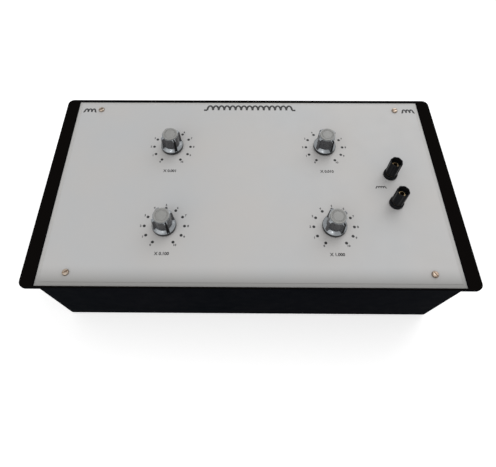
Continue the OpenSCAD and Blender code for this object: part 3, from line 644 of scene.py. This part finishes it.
def flute_reach(turn, place, radius, count, first):
    """Distance from the axis at which a round flute begins in that direction."""
    spacing = math.tau / count
    off = (turn - first + spacing / 2) % spacing - spacing / 2
    inside = radius**2 - (place * math.sin(off)) ** 2
    return place * math.cos(off) - math.sqrt(inside) if inside > 0 else place


def smooth_min(first, second, soft):
    """The lesser of two lengths, with the corner between them rounded."""
    blend = max(soft - abs(first - second), 0) / soft
    return min(first, second) - blend * blend * soft / 4


# Node trees for what repeats


def new_tree(name, sockets):
    """A geometry tree with a geometry input, the named inputs, and a geometry output."""
    tree = bpy.data.node_groups.new(name, "GeometryNodeTree")
    tree.interface.new_socket("Geometry", in_out="INPUT", socket_type="NodeSocketGeometry")
    for label, kind in {**sockets, "Material": "Material"}.items():
        tree.interface.new_socket(label, in_out="INPUT", socket_type="NodeSocket" + kind)
    tree.interface.new_socket("Geometry", in_out="OUTPUT", socket_type="NodeSocketGeometry")
    return tree, add(tree, "NodeGroupInput").outputs


def close_tree(tree, geometry, given):
    """Ends a tree: real meshes, one material, output."""
    real = add(tree, "GeometryNodeRealizeInstances", {"Geometry": geometry})
    done = {"Geometry": real, "Material": given["Material"]}
    done = add(tree, "GeometryNodeSetMaterial", done)
    add(tree, "NodeGroupOutput", {"Geometry": done})
    return tree


def dial_tree():
    """Repeats the input mesh on an arc round a centre."""
    sockets = {
        "Count": "Int", "Radius": "Float", "First": "Float", "Step": "Float", "Centre": "Vector",
    }
    tree, given = new_tree("round_a_dial", sockets)
    index = add(tree, "GeometryNodeInputIndex")
    turn = {0: index, 1: given["Step"], 2: given["First"]}
    turn = add(tree, "ShaderNodeMath", turn, operation="MULTIPLY_ADD")
    arm = add(tree, "ShaderNodeCombineXYZ", {"X": given["Radius"]})
    spun = {"Vector": arm, "Angle": turn}
    spun = add(tree, "ShaderNodeVectorRotate", spun, rotation_type="Z_AXIS")
    place = add(tree, "ShaderNodeVectorMath", {0: spun, 1: given["Centre"]}, operation="ADD")
    points = add(tree, "GeometryNodePoints", {"Count": given["Count"], "Position": place})
    copies = {"Points": points, "Instance": given["Geometry"]}
    copies = add(tree, "GeometryNodeInstanceOnPoints", copies)
    return close_tree(tree, copies, given)


def grid_tree():
    """Repeats the input mesh on a grid, each copy turned at random from a fixed seed."""
    sockets = {
        "Width": "Float", "Depth": "Float", "Across": "Int", "Along": "Int", "Turn": "Float",
        "Seed": "Int", "Centre": "Vector",
    }
    tree, given = new_tree("on_a_grid", sockets)
    grid = {
        "Size X": given["Width"], "Size Y": given["Depth"],
        "Vertices X": given["Across"], "Vertices Y": given["Along"],
    }
    grid = add(tree, "GeometryNodeMeshGrid", grid)
    highest = add(tree, "ShaderNodeCombineXYZ", {"Z": given["Turn"]})
    turn = {"Max": highest, "Seed": given["Seed"]}
    turn = add(tree, "FunctionNodeRandomValue", turn, data_type="FLOAT_VECTOR")
    copies = {"Points": grid, "Instance": given["Geometry"], "Rotation": turn}
    copies = add(tree, "GeometryNodeInstanceOnPoints", copies)
    moved = {"Geometry": copies, "Translation": given["Centre"]}
    return close_tree(tree, add(tree, "GeometryNodeTransform", moved), given)


def coil_tree():
    """Draws a coil as a flat printed line: a row of half rings with a straight lead at each end."""
    sockets = {
        "Humps": "Int", "Hump": "Float", "Tall": "Float", "Lead": "Float", "Line": "Float",
        "Thickness": "Float", "Centre": "Vector",
    }
    tree, given = new_tree("printed_coil", sockets)
    hump, height = given["Hump"], given["Thickness"]
    pitch = add(tree, "ShaderNodeMath", {0: hump, 1: 2.0}, operation="MULTIPLY")
    right = add(tree, "ShaderNodeMath", {0: hump, 1: given["Humps"]}, operation="MULTIPLY")
    left = add(tree, "ShaderNodeMath", {0: right, 1: -1.0}, operation="MULTIPLY")
    first = add(tree, "ShaderNodeMath", {0: left, 1: hump}, operation="ADD")
    row = {
        "Count": given["Humps"],
        "Start Location": add(tree, "ShaderNodeCombineXYZ", {"X": first}),
        "Offset": add(tree, "ShaderNodeCombineXYZ", {"X": pitch}),
    }
    row = add(tree, "GeometryNodeMeshLine", row)
    arc = {"Resolution": 13, "Radius": hump, "Start Angle": 0.0, "Sweep Angle": math.pi}
    arc = add(tree, "GeometryNodeCurveArc", arc, mode="RADIUS")
    stretch = add(tree, "ShaderNodeCombineXYZ", {"X": 1.0, "Y": given["Tall"], "Z": 1.0})
    humps = {"Points": row, "Instance": arc, "Scale": stretch}
    humps = add(tree, "GeometryNodeInstanceOnPoints", humps)
    lines = add(tree, "GeometryNodeJoinGeometry", {"Geometry": humps})
    for end, way in ((right, 1.0), (left, -1.0)):
        lead = add(tree, "ShaderNodeMath", {0: given["Lead"], 1: way}, operation="MULTIPLY")
        far = add(tree, "ShaderNodeMath", {0: end, 1: lead}, operation="ADD")
        lead = {
            "Start": add(tree, "ShaderNodeCombineXYZ", {"X": end}),
            "End": add(tree, "ShaderNodeCombineXYZ", {"X": far}),
        }
        lead = add(tree, "GeometryNodeCurvePrimitiveLine", lead)
        tree.links.new(lead.outputs["Curve"], lines.inputs["Geometry"])
    real = add(tree, "GeometryNodeRealizeInstances", {"Geometry": lines})
    half = add(tree, "ShaderNodeMath", {0: given["Line"], 1: 0.5}, operation="MULTIPLY")
    profile = add(tree, "GeometryNodeCurvePrimitiveCircle", {"Resolution": 8, "Radius": half})
    swept = {"Curve": real, "Profile Curve": profile, "Fill Caps": True}
    swept = add(tree, "GeometryNodeCurveToMesh", swept)
    squash = add(tree, "ShaderNodeMath", {0: height, 1: given["Line"]}, operation="DIVIDE")
    thin = add(tree, "ShaderNodeCombineXYZ", {"X": 1.0, "Y": 1.0, "Z": squash})
    flat = {"Geometry": swept, "Scale": thin, "Translation": given["Centre"]}
    return close_tree(tree, add(tree, "GeometryNodeTransform", flat), given)


def grown(tree, mesh, material, **values):
    """Runs a tree on a mesh and gives its result as a plain mesh, with no modifier left."""
    seed = object_of(mesh, tree.name + "_seed", material)
    modifier = seed.modifiers.new(tree.name, "NODES")
    modifier.node_group = tree
    inputs = [item for item in tree.interface.items_tree if item.in_out == "INPUT"]
    identifiers = {item.name: item.identifier for item in inputs}
    for label, value in {**values, "Material": material}.items():
        modifier[identifiers[label]] = value
    bpy.context.view_layer.update()
    drawn = seed.evaluated_get(bpy.context.evaluated_depsgraph_get())
    result = bpy.data.meshes.new_from_object(drawn)
    seed.modifiers.remove(modifier)
    bpy.data.objects.remove(seed)
    return result


def lettering(words, height, thickness, bold):
    """Mesh of a short line of type, centred on the origin, with its underside at 0."""
    type_line = bpy.data.curves.new("type", "FONT")
    type_line.body = words
    type_line.size = height
    type_line.offset = bold
    type_line.align_x = "CENTER"
    type_line.align_y = "CENTER"
    type_line.extrude = thickness / 2
    type_line.resolution_u = 3
    carrier = bpy.data.objects.new("type", type_line)
    mesh = bpy.data.meshes.new_from_object(carrier)
    bpy.data.objects.remove(carrier)
    mesh.transform(Matrix.Translation((0, 0, thickness / 2)))
    return mesh


# Operators


class DECADE_OT_solids(bpy.types.Operator):
    """Gives every packed solid, inside and out, the finish of its slot"""

    bl_idname = "decade.solids"
    bl_label = "Packed Solids"
    bl_options = {"REGISTER", "UNDO"}

    def execute(self, context):
        for part in frame["record"]["subparts"]:
            skin = frame["nodes"][part["node"]].data
            skin.materials.clear()
            skin.materials.append(material_of(part["material_slot"]))
        return {"FINISHED"}


class DECADE_OT_case(bpy.types.Operator):
    """Finishes the case and the panel sheet, with their edges rounded"""

    bl_idname = "decade.case"
    bl_label = "Case and Panel"
    bl_options = {"REGISTER", "UNDO"}

    def execute(self, context):
        look = settings("decade_case")
        case = softened("case_tub", look.edge, self.outside)
        fitted(case, "case_moulding", "case", "moulded_case", "case_tub")
        sheet = softened("front_panel", look.sheet_edge, self.long)
        fitted(sheet, "panel_sheet", "case", "panel_metal", "front_panel")
        return {"FINISHED"}

    def long(self, edge):
        """Whether an edge of the sheet is one of its sides, and not a hole's."""
        longest_at_hole = 20 * MM
        return edge.calc_length() > longest_at_hole

    def outside(self, edge):
        """Whether an edge of the case is on its rim, beyond the panel, or round the tub's floor."""
        look = settings("decade_case")
        rim_depth, floor_depth = 3 * MM, 2 * MM
        floor_x, floor_y = 165 * MM, 95 * MM  # a little inside the floor's own edges
        x, y, z = (edge.verts[0].co + edge.verts[1].co) / 2
        x, y = abs(x), abs(y)
        beyond = x > PANEL_HIGH.x - look.edge or y > PANEL_HIGH.y - look.edge
        low = z < CASE_LOW.z + floor_depth and (x > floor_x or y > floor_y)
        return low or (beyond and z > PANEL_LOW.z - rim_depth)


class DECADE_OT_print(bpy.types.Operator):
    """Prints the dots, numbers and multipliers of the dials"""

    bl_idname = "decade.print"
    bl_label = "Print"
    bl_options = {"REGISTER", "UNDO"}

    def execute(self, context):
        look = settings("decade_print")
        dots = dial_tree()
        ink = print_ink("screen_ink", look.ink)
        number_ink = print_ink("screen_ink_thin", look.number_ink)
        dot = [(0, 0), (look.dot_radius, 0), (look.dot_radius, look.thickness), (0, look.thickness)]
        for decade, multiplier in MULTIPLIERS.items():
            centre = axis_of("turn_" + decade)
            marks = grown(
                dots, turned(dot, Vector(), turns=20), ink, Count=look.marks,
                Radius=look.dot_ring, First=look.first, Step=-look.step, Centre=centre,
            )
            fitted(marks, "dial_dots_" + decade, "case", "panel_film", skin=ink)
            turns = [look.first - k * look.step for k in range(look.marks)]
            numbers = [(str(k), look.number_ring, turn) for k, turn in enumerate(turns)]
            numbers = self.type_round(centre, numbers, look.number_height, look.bold)
            fitted(numbers, "dial_numbers_" + decade, "case", "panel_film", skin=number_ink)
            drop = look.rear_drop if centre.y > 0 else look.front_drop
            label = [(multiplier, drop, -math.pi / 2)]
            label = self.type_round(centre, label, look.label_height, look.label_bold)
            fitted(label, "multiplier_" + decade, "case", "panel_film", skin=ink)
        return {"FINISHED"}

    def type_round(self, centre, lines, height, bold):
        """One mesh of lines of type round a centre, from their words, distances and angles."""
        thickness = settings("decade_print").thickness
        mesh = bmesh.new()
        for words, reach, turn in lines:
            letters = lettering(words, height, thickness, bold)
            offset = Vector((reach * math.cos(turn), reach * math.sin(turn), 0))
            letters.transform(Matrix.Translation(centre + offset))
            mesh.from_mesh(letters)
            bpy.data.meshes.remove(letters)
        bmesh.ops.remove_doubles(mesh, verts=mesh.verts, dist=SAME_POINT)
        return mesh


class DECADE_OT_symbols(bpy.types.Operator):
    """Prints a long coil at the panel's rear, and short ones in its corners and by the posts"""

    bl_idname = "decade.symbols"
    bl_label = "Coil Symbols"
    bl_options = {"REGISTER", "UNDO"}

    def execute(self, context):
        look = settings("decade_print")
        coil = coil_tree()
        ink = print_ink("screen_ink_symbols", look.ink)
        for name, (humps, hump, tall, lead, line, (x, y)) in COIL_SIGNS.items():
            mesh = grown(
                coil, bmesh.new(), ink, Humps=humps, Hump=hump * MM, Tall=tall, Lead=lead * MM,
                Line=line * MM, Thickness=2 * look.thickness, Centre=(x * MM, y * MM, FILM_TOP),
            )
            fitted(mesh, name, "case", "panel_film", skin=ink)
        return {"FINISHED"}


class DECADE_OT_screws(bpy.types.Operator):
    """Sets a slotted pan head in each corner of the panel"""

    bl_idname = "decade.screws"
    bl_label = "Panel Screws"
    bl_options = {"REGISTER", "UNDO"}

    def execute(self, context):
        look = settings("decade_screws")
        low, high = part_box("panel_screws")
        radius, height = look.head_radius, look.head_height
        depth = FILM_TOP - low.z
        outline = [
            (0, -depth, 0),
            (look.shank_radius, -depth, 0),
            (look.shank_radius, 0, 0),
            (radius, 0, 0.2 * MM),
            (radius, 0.45 * height, 0.5 * radius),
            (0.8 * radius, height, 0.5 * radius),
            (0, height, 0),
        ]
        head = self.slotted(turned(rounded(outline, 5), Vector(), turns=48))
        metal = plated_screw()
        screws = grown(
            grid_tree(), head, metal, Across=2, Along=2, Turn=math.pi, Seed=4,
            Width=high.x - low.x - 2 * radius, Depth=high.y - low.y - 2 * radius,
            Centre=(0, 0, FILM_TOP),
        )
        fitted(screws, "panel_screw_heads", "case", "zinc_steel", "panel_screws", skin=metal)
        return {"FINISHED"}

    def slotted(self, head):
        """Cuts the driver slot across a head."""
        look = settings("decade_screws")
        block = bmesh.new()
        bmesh.ops.create_cube(block, size=1)
        sides = (3 * look.head_radius, look.slot_width, 2 * look.slot_depth)
        bmesh.ops.scale(block, vec=sides, verts=block.verts)
        bmesh.ops.translate(block, vec=(0, 0, look.head_height), verts=block.verts)
        material = bpy.data.materials.new("blank")
        solid = object_of(head, "head", material)
        cutter = object_of(block, "cutter", material)
        cut = solid.modifiers.new("slot", "BOOLEAN")
        cut.object = cutter
        cut.operation = "DIFFERENCE"
        bpy.context.view_layer.update()
        done = bmesh.new()
        done.from_object(solid, bpy.context.evaluated_depsgraph_get())
        for spent in (solid, cutter):
            bpy.data.objects.remove(spent)
        bpy.data.materials.remove(material)
        return done


class DECADE_OT_knobs(bpy.types.Operator):
    """Moulds the four pointer knobs, each with its cap and inlaid pointer line"""

    bl_idname = "decade.knobs"
    bl_label = "Knobs"
    bl_options = {"REGISTER", "UNDO"}

    def execute(self, context):
        look = settings("decade_knobs")
        paint = pointer_paint()
        for decade in MULTIPLIERS:
            centre = axis_of("turn_" + decade)
            turn = look.pointer_left if centre.x < 0 else look.pointer_right
            body, node = "selector_" + decade, "knob_" + decade
            knob = self.moulding(look, centre, turn)
            fitted(knob, "pointer_knob_" + decade, body, "knob_plastic", node, smooth=50)
            cap, node = self.cap(look, centre), "knob_cap_" + decade
            fitted(cap, "spun_cap_" + decade, body, "cap_metal", node, smooth=40)
            line = self.pointer(look, centre, turn)
            fitted(line, "pointer_line_" + decade, body, "knob_plastic", skin=paint)
        return {"FINISHED"}

    def moulding(self, look, centre, pointer):
        """Skirt, hub and four lobes in one surface, from the pocket under the knob to its top."""
        half = look.lobe_width / 2
        side = half + look.lobe_fillet
        place = math.sqrt((look.hub_radius + look.lobe_fillet) ** 2 - side**2)
        hollow_start, hollow_end = math.atan2(half, place), math.atan2(side, place)
        soft, soft_top = 0.35 * MM, 0.3 * MM
        least = 0.1  # radians from a lobe's middle, where its side is already out of reach

        def skirt(height):
            """Radius of the skirt's rounded slope."""
            share = max(0, min(1, (height - look.skirt_top) / (look.crown_top - look.skirt_top)))
            return look.hub_radius + (look.skirt_radius - look.hub_radius) * (1 - share**look.crown)

        def column(height):
            """Radius of a lobe's end, up its taper and over its slanted top."""
            share = (height - look.skirt_top) / (look.lobe_top - look.skirt_top)
            upright = look.lobe_foot + share * (look.lobe_radius - look.lobe_foot)
            slope = (height - look.lobe_top) / (look.height - look.lobe_top)
            slant = look.lobe_radius + slope * (look.hub_radius - look.lobe_radius)
            return smooth_min(upright, slant, soft_top)

        def reach(turn):
            """Distance from the axis to the hub, a lobe's hollow or its side, in a direction."""
            off = abs((turn - pointer + math.pi / 4) % (math.pi / 2) - math.pi / 4)
            if off > hollow_end:
                return look.hub_radius
            if off > hollow_start:
                miss = place * math.sin(off) - side * math.cos(off)
                along = place * math.cos(off) + side * math.sin(off)
                return along - math.sqrt(max(look.lobe_fillet**2 - miss**2, 0))
            return half / math.sin(max(off, least))

        def rule(r, height, turn):
            """The lobes over the slope, with a soft hollow between them."""
            if height <= look.skirt_top or r < look.hub_radius - SAME_POINT:
                return r
            lobe = smooth_min(column(height), reach(turn), soft)
            return min(r, -smooth_min(-lobe, -skirt(height), soft))

        # degrees from a lobe's middle, with the most steps where its side and its hollow turn
        eighth = [math.radians(a) for a in spread((0, 3), (7, 10), (9.6, 6), (17, 9), (45, 0))]
        quarter = eighth[:-1] + [math.pi / 2 - a for a in eighth[:0:-1]]
        turns = [pointer + k * math.pi / 2 + a for k in range(4) for a in quarter]
        bore, bore_top = 5.3 * MM, 7.2 * MM
        pocket, pocket_top = 7.9 * MM, 3.25 * MM  # for the bush nut
        corners = [
            (0, bore_top, 0),
            (bore, bore_top, 0),
            (bore, pocket_top, 0),
            (pocket, pocket_top, 0),
            (pocket, look.gap, 0),
            (look.skirt_radius, look.gap, 0.5 * MM),
            (look.skirt_radius, look.skirt_top, 0),
        ]
        curve = look.lobe_top - 0.5 * MM
        rows = spread((look.skirt_top, 20), (look.crown_top, 12), (curve, 12), (look.height, 0))
        outline = rounded(corners)
        outline += [Vector((look.skirt_radius, height)) for height in rows[1:-1]]
        outline += [Vector((look.hub_radius, look.height)), Vector((0, look.height))]
        return turned(outline, centre, rule, turns)

    def cap(self, look, centre):
        """Flat cap: a raised ring round a groove and a low centre disc, on a stub in the knob."""
        low, top = look.height, look.height + look.cap_height
        stub, stub_foot = 5 * MM, low - 1.2 * MM
        disc, groove = top - 0.2 * MM, top - 0.7 * MM
        r = look.cap_radius
        corners = [
            (0, stub_foot, 0),
            (stub, stub_foot, 0),
            (stub, low, 0),
            (r, low, 0.1 * MM),
            (r, top, 0.5 * MM),
            (r - 1.3 * MM, top, 0.35 * MM),
            (r - 1.8 * MM, groove, 0.2 * MM),
            (r - 2.3 * MM, groove, 0.2 * MM),
            (r - 2.8 * MM, disc, 0.3 * MM),
            (0, disc, 0),
        ]
        return turned(rounded(corners, 4), centre)

    def pointer(self, look, centre, turn):
        """A strip that runs from the cap's edge down its lobe to the skirt's edge, and widens."""
        half_top, half_gain = 0.75 * MM, 0.55 * MM
        proud, sunk = 0.07 * MM, -0.12 * MM
        path = [
            (look.hub_radius, look.height, 0),
            (look.lobe_radius, look.lobe_top, 0.6 * MM),
            (look.lobe_foot - 0.03 * MM, look.skirt_top + 0.6 * MM, 0.3 * MM),
            (look.skirt_radius, look.skirt_top, 0),
        ]
        line = rounded(path, 4)
        along = Vector((math.cos(turn), math.sin(turn), 0))
        across = Vector((-math.sin(turn), math.cos(turn), 0))
        up = Vector((0, 0, 1))
        mesh = bmesh.new()
        rings = []
        for k, point in enumerate(line):
            way = (line[min(k + 1, len(line) - 1)] - line[max(k - 1, 0)]).normalized()
            normal = along * -way.y + up * way.x
            share = (look.height - point.y) / (look.height - look.skirt_top)
            half = half_top + half_gain * share
            middle = centre + along * point.x + up * point.y
            rings.append([
                mesh.verts.new(middle + normal * lift + across * side * half)
                for lift, side in ((proud, -1), (proud, 1), (sunk, 1), (sunk, -1))
            ])
        for low, high in zip(rings, rings[1:]):
            for k in range(4):
                n = (k + 1) % 4
                mesh.faces.new((low[k], low[n], high[n], high[k]))
        mesh.faces.new(rings[0])
        mesh.faces.new(rings[-1][::-1])
        return mesh


class DECADE_OT_posts(bpy.types.Operator):
    """Moulds the collars and fluted caps of the binding posts round their brass studs"""

    bl_idname = "decade.posts"
    bl_label = "Binding Posts"
    bl_options = {"REGISTER", "UNDO"}

    def execute(self, context):
        look = settings("decade_posts")
        for post, first in (("rear", look.rear_turn), ("front", 0.0)):
            centre = axis_of("unscrew_" + post)
            collar = self.collar(look, centre)
            name, node = "post_collar_skin_" + post, "post_collar_" + post
            fitted(collar, name, "case", "post_plastic", node, smooth=40)
            cap = self.cap(look, centre, first)
            name, body, node = "fluted_cap_" + post, "screw_cap_" + post, "post_cap_" + post
            fitted(cap, name, body, "post_plastic", node, smooth=40)
        return {"FINISHED"}

    def collar(self, look, centre):
        """Round collar with a crowned edge, and its spigot down through the panel."""
        foot = PANEL_LOW.z - FILM_TOP
        corners = [
            (look.bore, foot, 0),
            (look.spigot_radius, foot, 0),
            (look.spigot_radius, 0, 0),
            (look.collar_radius, 0, 0.2 * MM),
            (look.collar_radius, look.collar_height, 1.7 * MM),
            (look.bore, look.collar_height, 0),
        ]
        return turned(rounded(corners, 6), centre)

    def cap(self, look, centre, first):
        """Screw cap with flutes up its side and an open well in its top."""
        place = look.cap_radius + look.flute_radius - look.flute_depth
        r = look.cap_radius
        wall = look.well_radius + 0.4 * MM  # flutes leave the well and its lip as they are
        soft = 0.25 * MM

        def rule(radius, height, turn):
            """The round side, cut back where a flute is."""
            if radius <= wall:
                return radius
            reach = flute_reach(turn, place, look.flute_radius, look.flutes, first)
            return smooth_min(radius, reach, soft)

        corners = [
            (look.bore, look.cap_foot, 0),
            (r, look.cap_foot, 0.3 * MM),
            (r, look.cap_top, 0.45 * MM),
            (look.well_radius, look.cap_top, 0.35 * MM),
            (look.well_radius, look.well_floor, 0.2 * MM),
            (look.bore, look.well_floor, 0),
        ]
        return turned(rounded(corners, 4), centre, rule, 240)


class DECADE_OT_stage(bpy.types.Operator):
    """Sets the floor, the soft lamps, the pale surround and the camera"""

    bl_idname = "decade.stage"
    bl_label = "Stage"
    bl_options = {"REGISTER", "UNDO"}

    def execute(self, context):
        look = settings("decade_stage")
        self.floor(look)
        self.surround(look)
        for name, (setting, size, place) in LAMPS.items():
            self.lamp(name, getattr(look, setting), size, place)
        self.camera()
        context.scene.view_settings.view_transform = "Standard"
        return {"FINISHED"}

    def seen(self, tree):
        """1 for camera, mirror and glass rays, and 0 for the rays that light the object."""
        rays = add(tree, "ShaderNodeLightPath").outputs
        either = {0: rays["Is Camera Ray"], 1: rays["Is Glossy Ray"]}
        either = add(tree, "ShaderNodeMath", either, operation="MAXIMUM")
        either = {0: either, 1: rays["Is Transmission Ray"]}
        return add(tree, "ShaderNodeMath", either, operation="MAXIMUM")

    def floor(self, look):
        """A plain pale floor that keeps the object's shadow and fades into the surround."""
        material = bpy.data.materials.new("studio_floor")
        material.use_nodes = True
        tree = material.node_tree
        shader = tree.nodes["Principled BSDF"]
        shader.inputs["Base Color"].default_value = look.floor
        shader.inputs["Roughness"].default_value = 0.9
        shader.inputs["Specular IOR Level"].default_value = 0.0
        place = add(tree, "ShaderNodeTexCoord").outputs["Object"]
        reach = add(tree, "ShaderNodeVectorMath", {0: place}, operation="LENGTH").outputs["Value"]
        fade = {"Value": reach, "From Min": 0.6, "From Max": 2.5, "To Min": 0.42, "To Max": 1.0}
        fade = add(tree, "ShaderNodeMapRange", fade)
        glow = add(tree, "ShaderNodeMath", {0: self.seen(tree), 1: fade}, operation="MULTIPLY")
        light = add(tree, "ShaderNodeEmission", {"Strength": glow})
        both = add(tree, "ShaderNodeAddShader", {0: shader, 1: light})
        tree.links.new(both.outputs["Shader"], tree.nodes["Material Output"].inputs["Surface"])
        mesh = bmesh.new()
        bmesh.ops.create_grid(mesh, x_segments=1, y_segments=1, size=FLOOR_REACH)
        object_of(mesh, "studio_floor", material)

    def surround(self, look):
        """A white surround for what the camera and the gloss see, and a softer one for light."""
        world = bpy.data.worlds.new("studio")
        bpy.context.scene.world = world
        world.use_nodes = True
        tree = world.node_tree
        light = {"Value": self.seen(tree), "To Min": look.fill, "To Max": 1.0}
        light = add(tree, "ShaderNodeMapRange", light)
        tree.links.new(light.outputs["Result"], tree.nodes["Background"].inputs["Strength"])
        tree.nodes["Background"].inputs["Color"].default_value = (1, 1, 1, 1)

    def lamp(self, name, watts, size, place):
        """A square soft lamp aimed at the box."""
        light = bpy.data.lights.new(name, "AREA")
        light.energy = watts
        light.size = size
        lamp = bpy.data.objects.new(name, light)
        aim = (Vector((0, 0, FILM_TOP)) - Vector(place)).to_track_quat("-Z", "Y")
        lamp.matrix_world = Matrix.Translation(place) @ aim.to_matrix().to_4x4()
        bpy.context.scene.collection.objects.link(lamp)

    def camera(self):
        """The photograph's viewpoint: before the box, a little left of its middle, looking down."""
        image_width, image_height = 496, 467
        focal, centre_x, centre_y = 445.35, 233.62, 174.88
        right = Vector((0.9999578130, 0.0080875990, -0.0043546443))
        down = Vector((0.0044059769, -0.8383048360, -0.5451839959))
        ahead = Vector((-0.0080597489, 0.5451418097, -0.8383051042))
        place = Vector((-10.86, -225.22, 359.6)) * MM + Vector((0, 0, FILM_TOP))
        data = bpy.data.cameras.new("photo_camera")
        data.sensor_width = 36
        data.lens = focal / image_width * data.sensor_width
        data.shift_x = (image_width / 2 - centre_x) / image_width
        data.shift_y = (centre_y - image_height / 2) / image_width
        data.clip_start = 0.01
        camera = bpy.data.objects.new("photo_camera", data)
        turn = Matrix((right, -down, -ahead)).transposed()
        camera.matrix_world = Matrix.Translation(place) @ turn.to_4x4()
        bpy.context.scene.collection.objects.link(camera)
        bpy.context.scene.camera = camera


class DECADE_PT_panel(bpy.types.Panel):
    """Lists the settings and the operators"""

    bl_idname = "DECADE_PT_panel"
    bl_label = "Decade Box"
    bl_space_type = "VIEW_3D"
    bl_region_type = "UI"
    bl_category = "Decade Box"

    def draw(self, context):
        for name, group in SETTINGS.items():
            box = self.layout.box()
            box.label(text=group.__doc__)
            for key in group.__annotations__:
                box.prop(getattr(context.scene, name), key)
        for operator in OPERATORS:
            self.layout.operator(operator.bl_idname)


OPERATORS = (
    DECADE_OT_solids,
    DECADE_OT_case,
    DECADE_OT_print,
    DECADE_OT_symbols,
    DECADE_OT_screws,
    DECADE_OT_knobs,
    DECADE_OT_posts,
    DECADE_OT_stage,
)
CLASSES = (*SETTINGS.values(), *OPERATORS, DECADE_PT_panel)


def register():
    """Registers the classes, and gives every scene their settings."""
    for cls in CLASSES:
        bpy.utils.register_class(cls)
    for name, group in SETTINGS.items():
        setattr(bpy.types.Scene, name, bpy.props.PointerProperty(type=group))


def unregister():
    """Takes the settings and the classes away again."""
    for name in SETTINGS:
        delattr(bpy.types.Scene, name)
    for cls in reversed(CLASSES):
        bpy.utils.unregister_class(cls)


def main():
    """Builds every piece and the stage in order."""
    register()
    for operator in OPERATORS:
        group, name = operator.bl_idname.split(".")
        getattr(getattr(bpy.ops, group), name)()


if __name__ == "__main__":
    main()
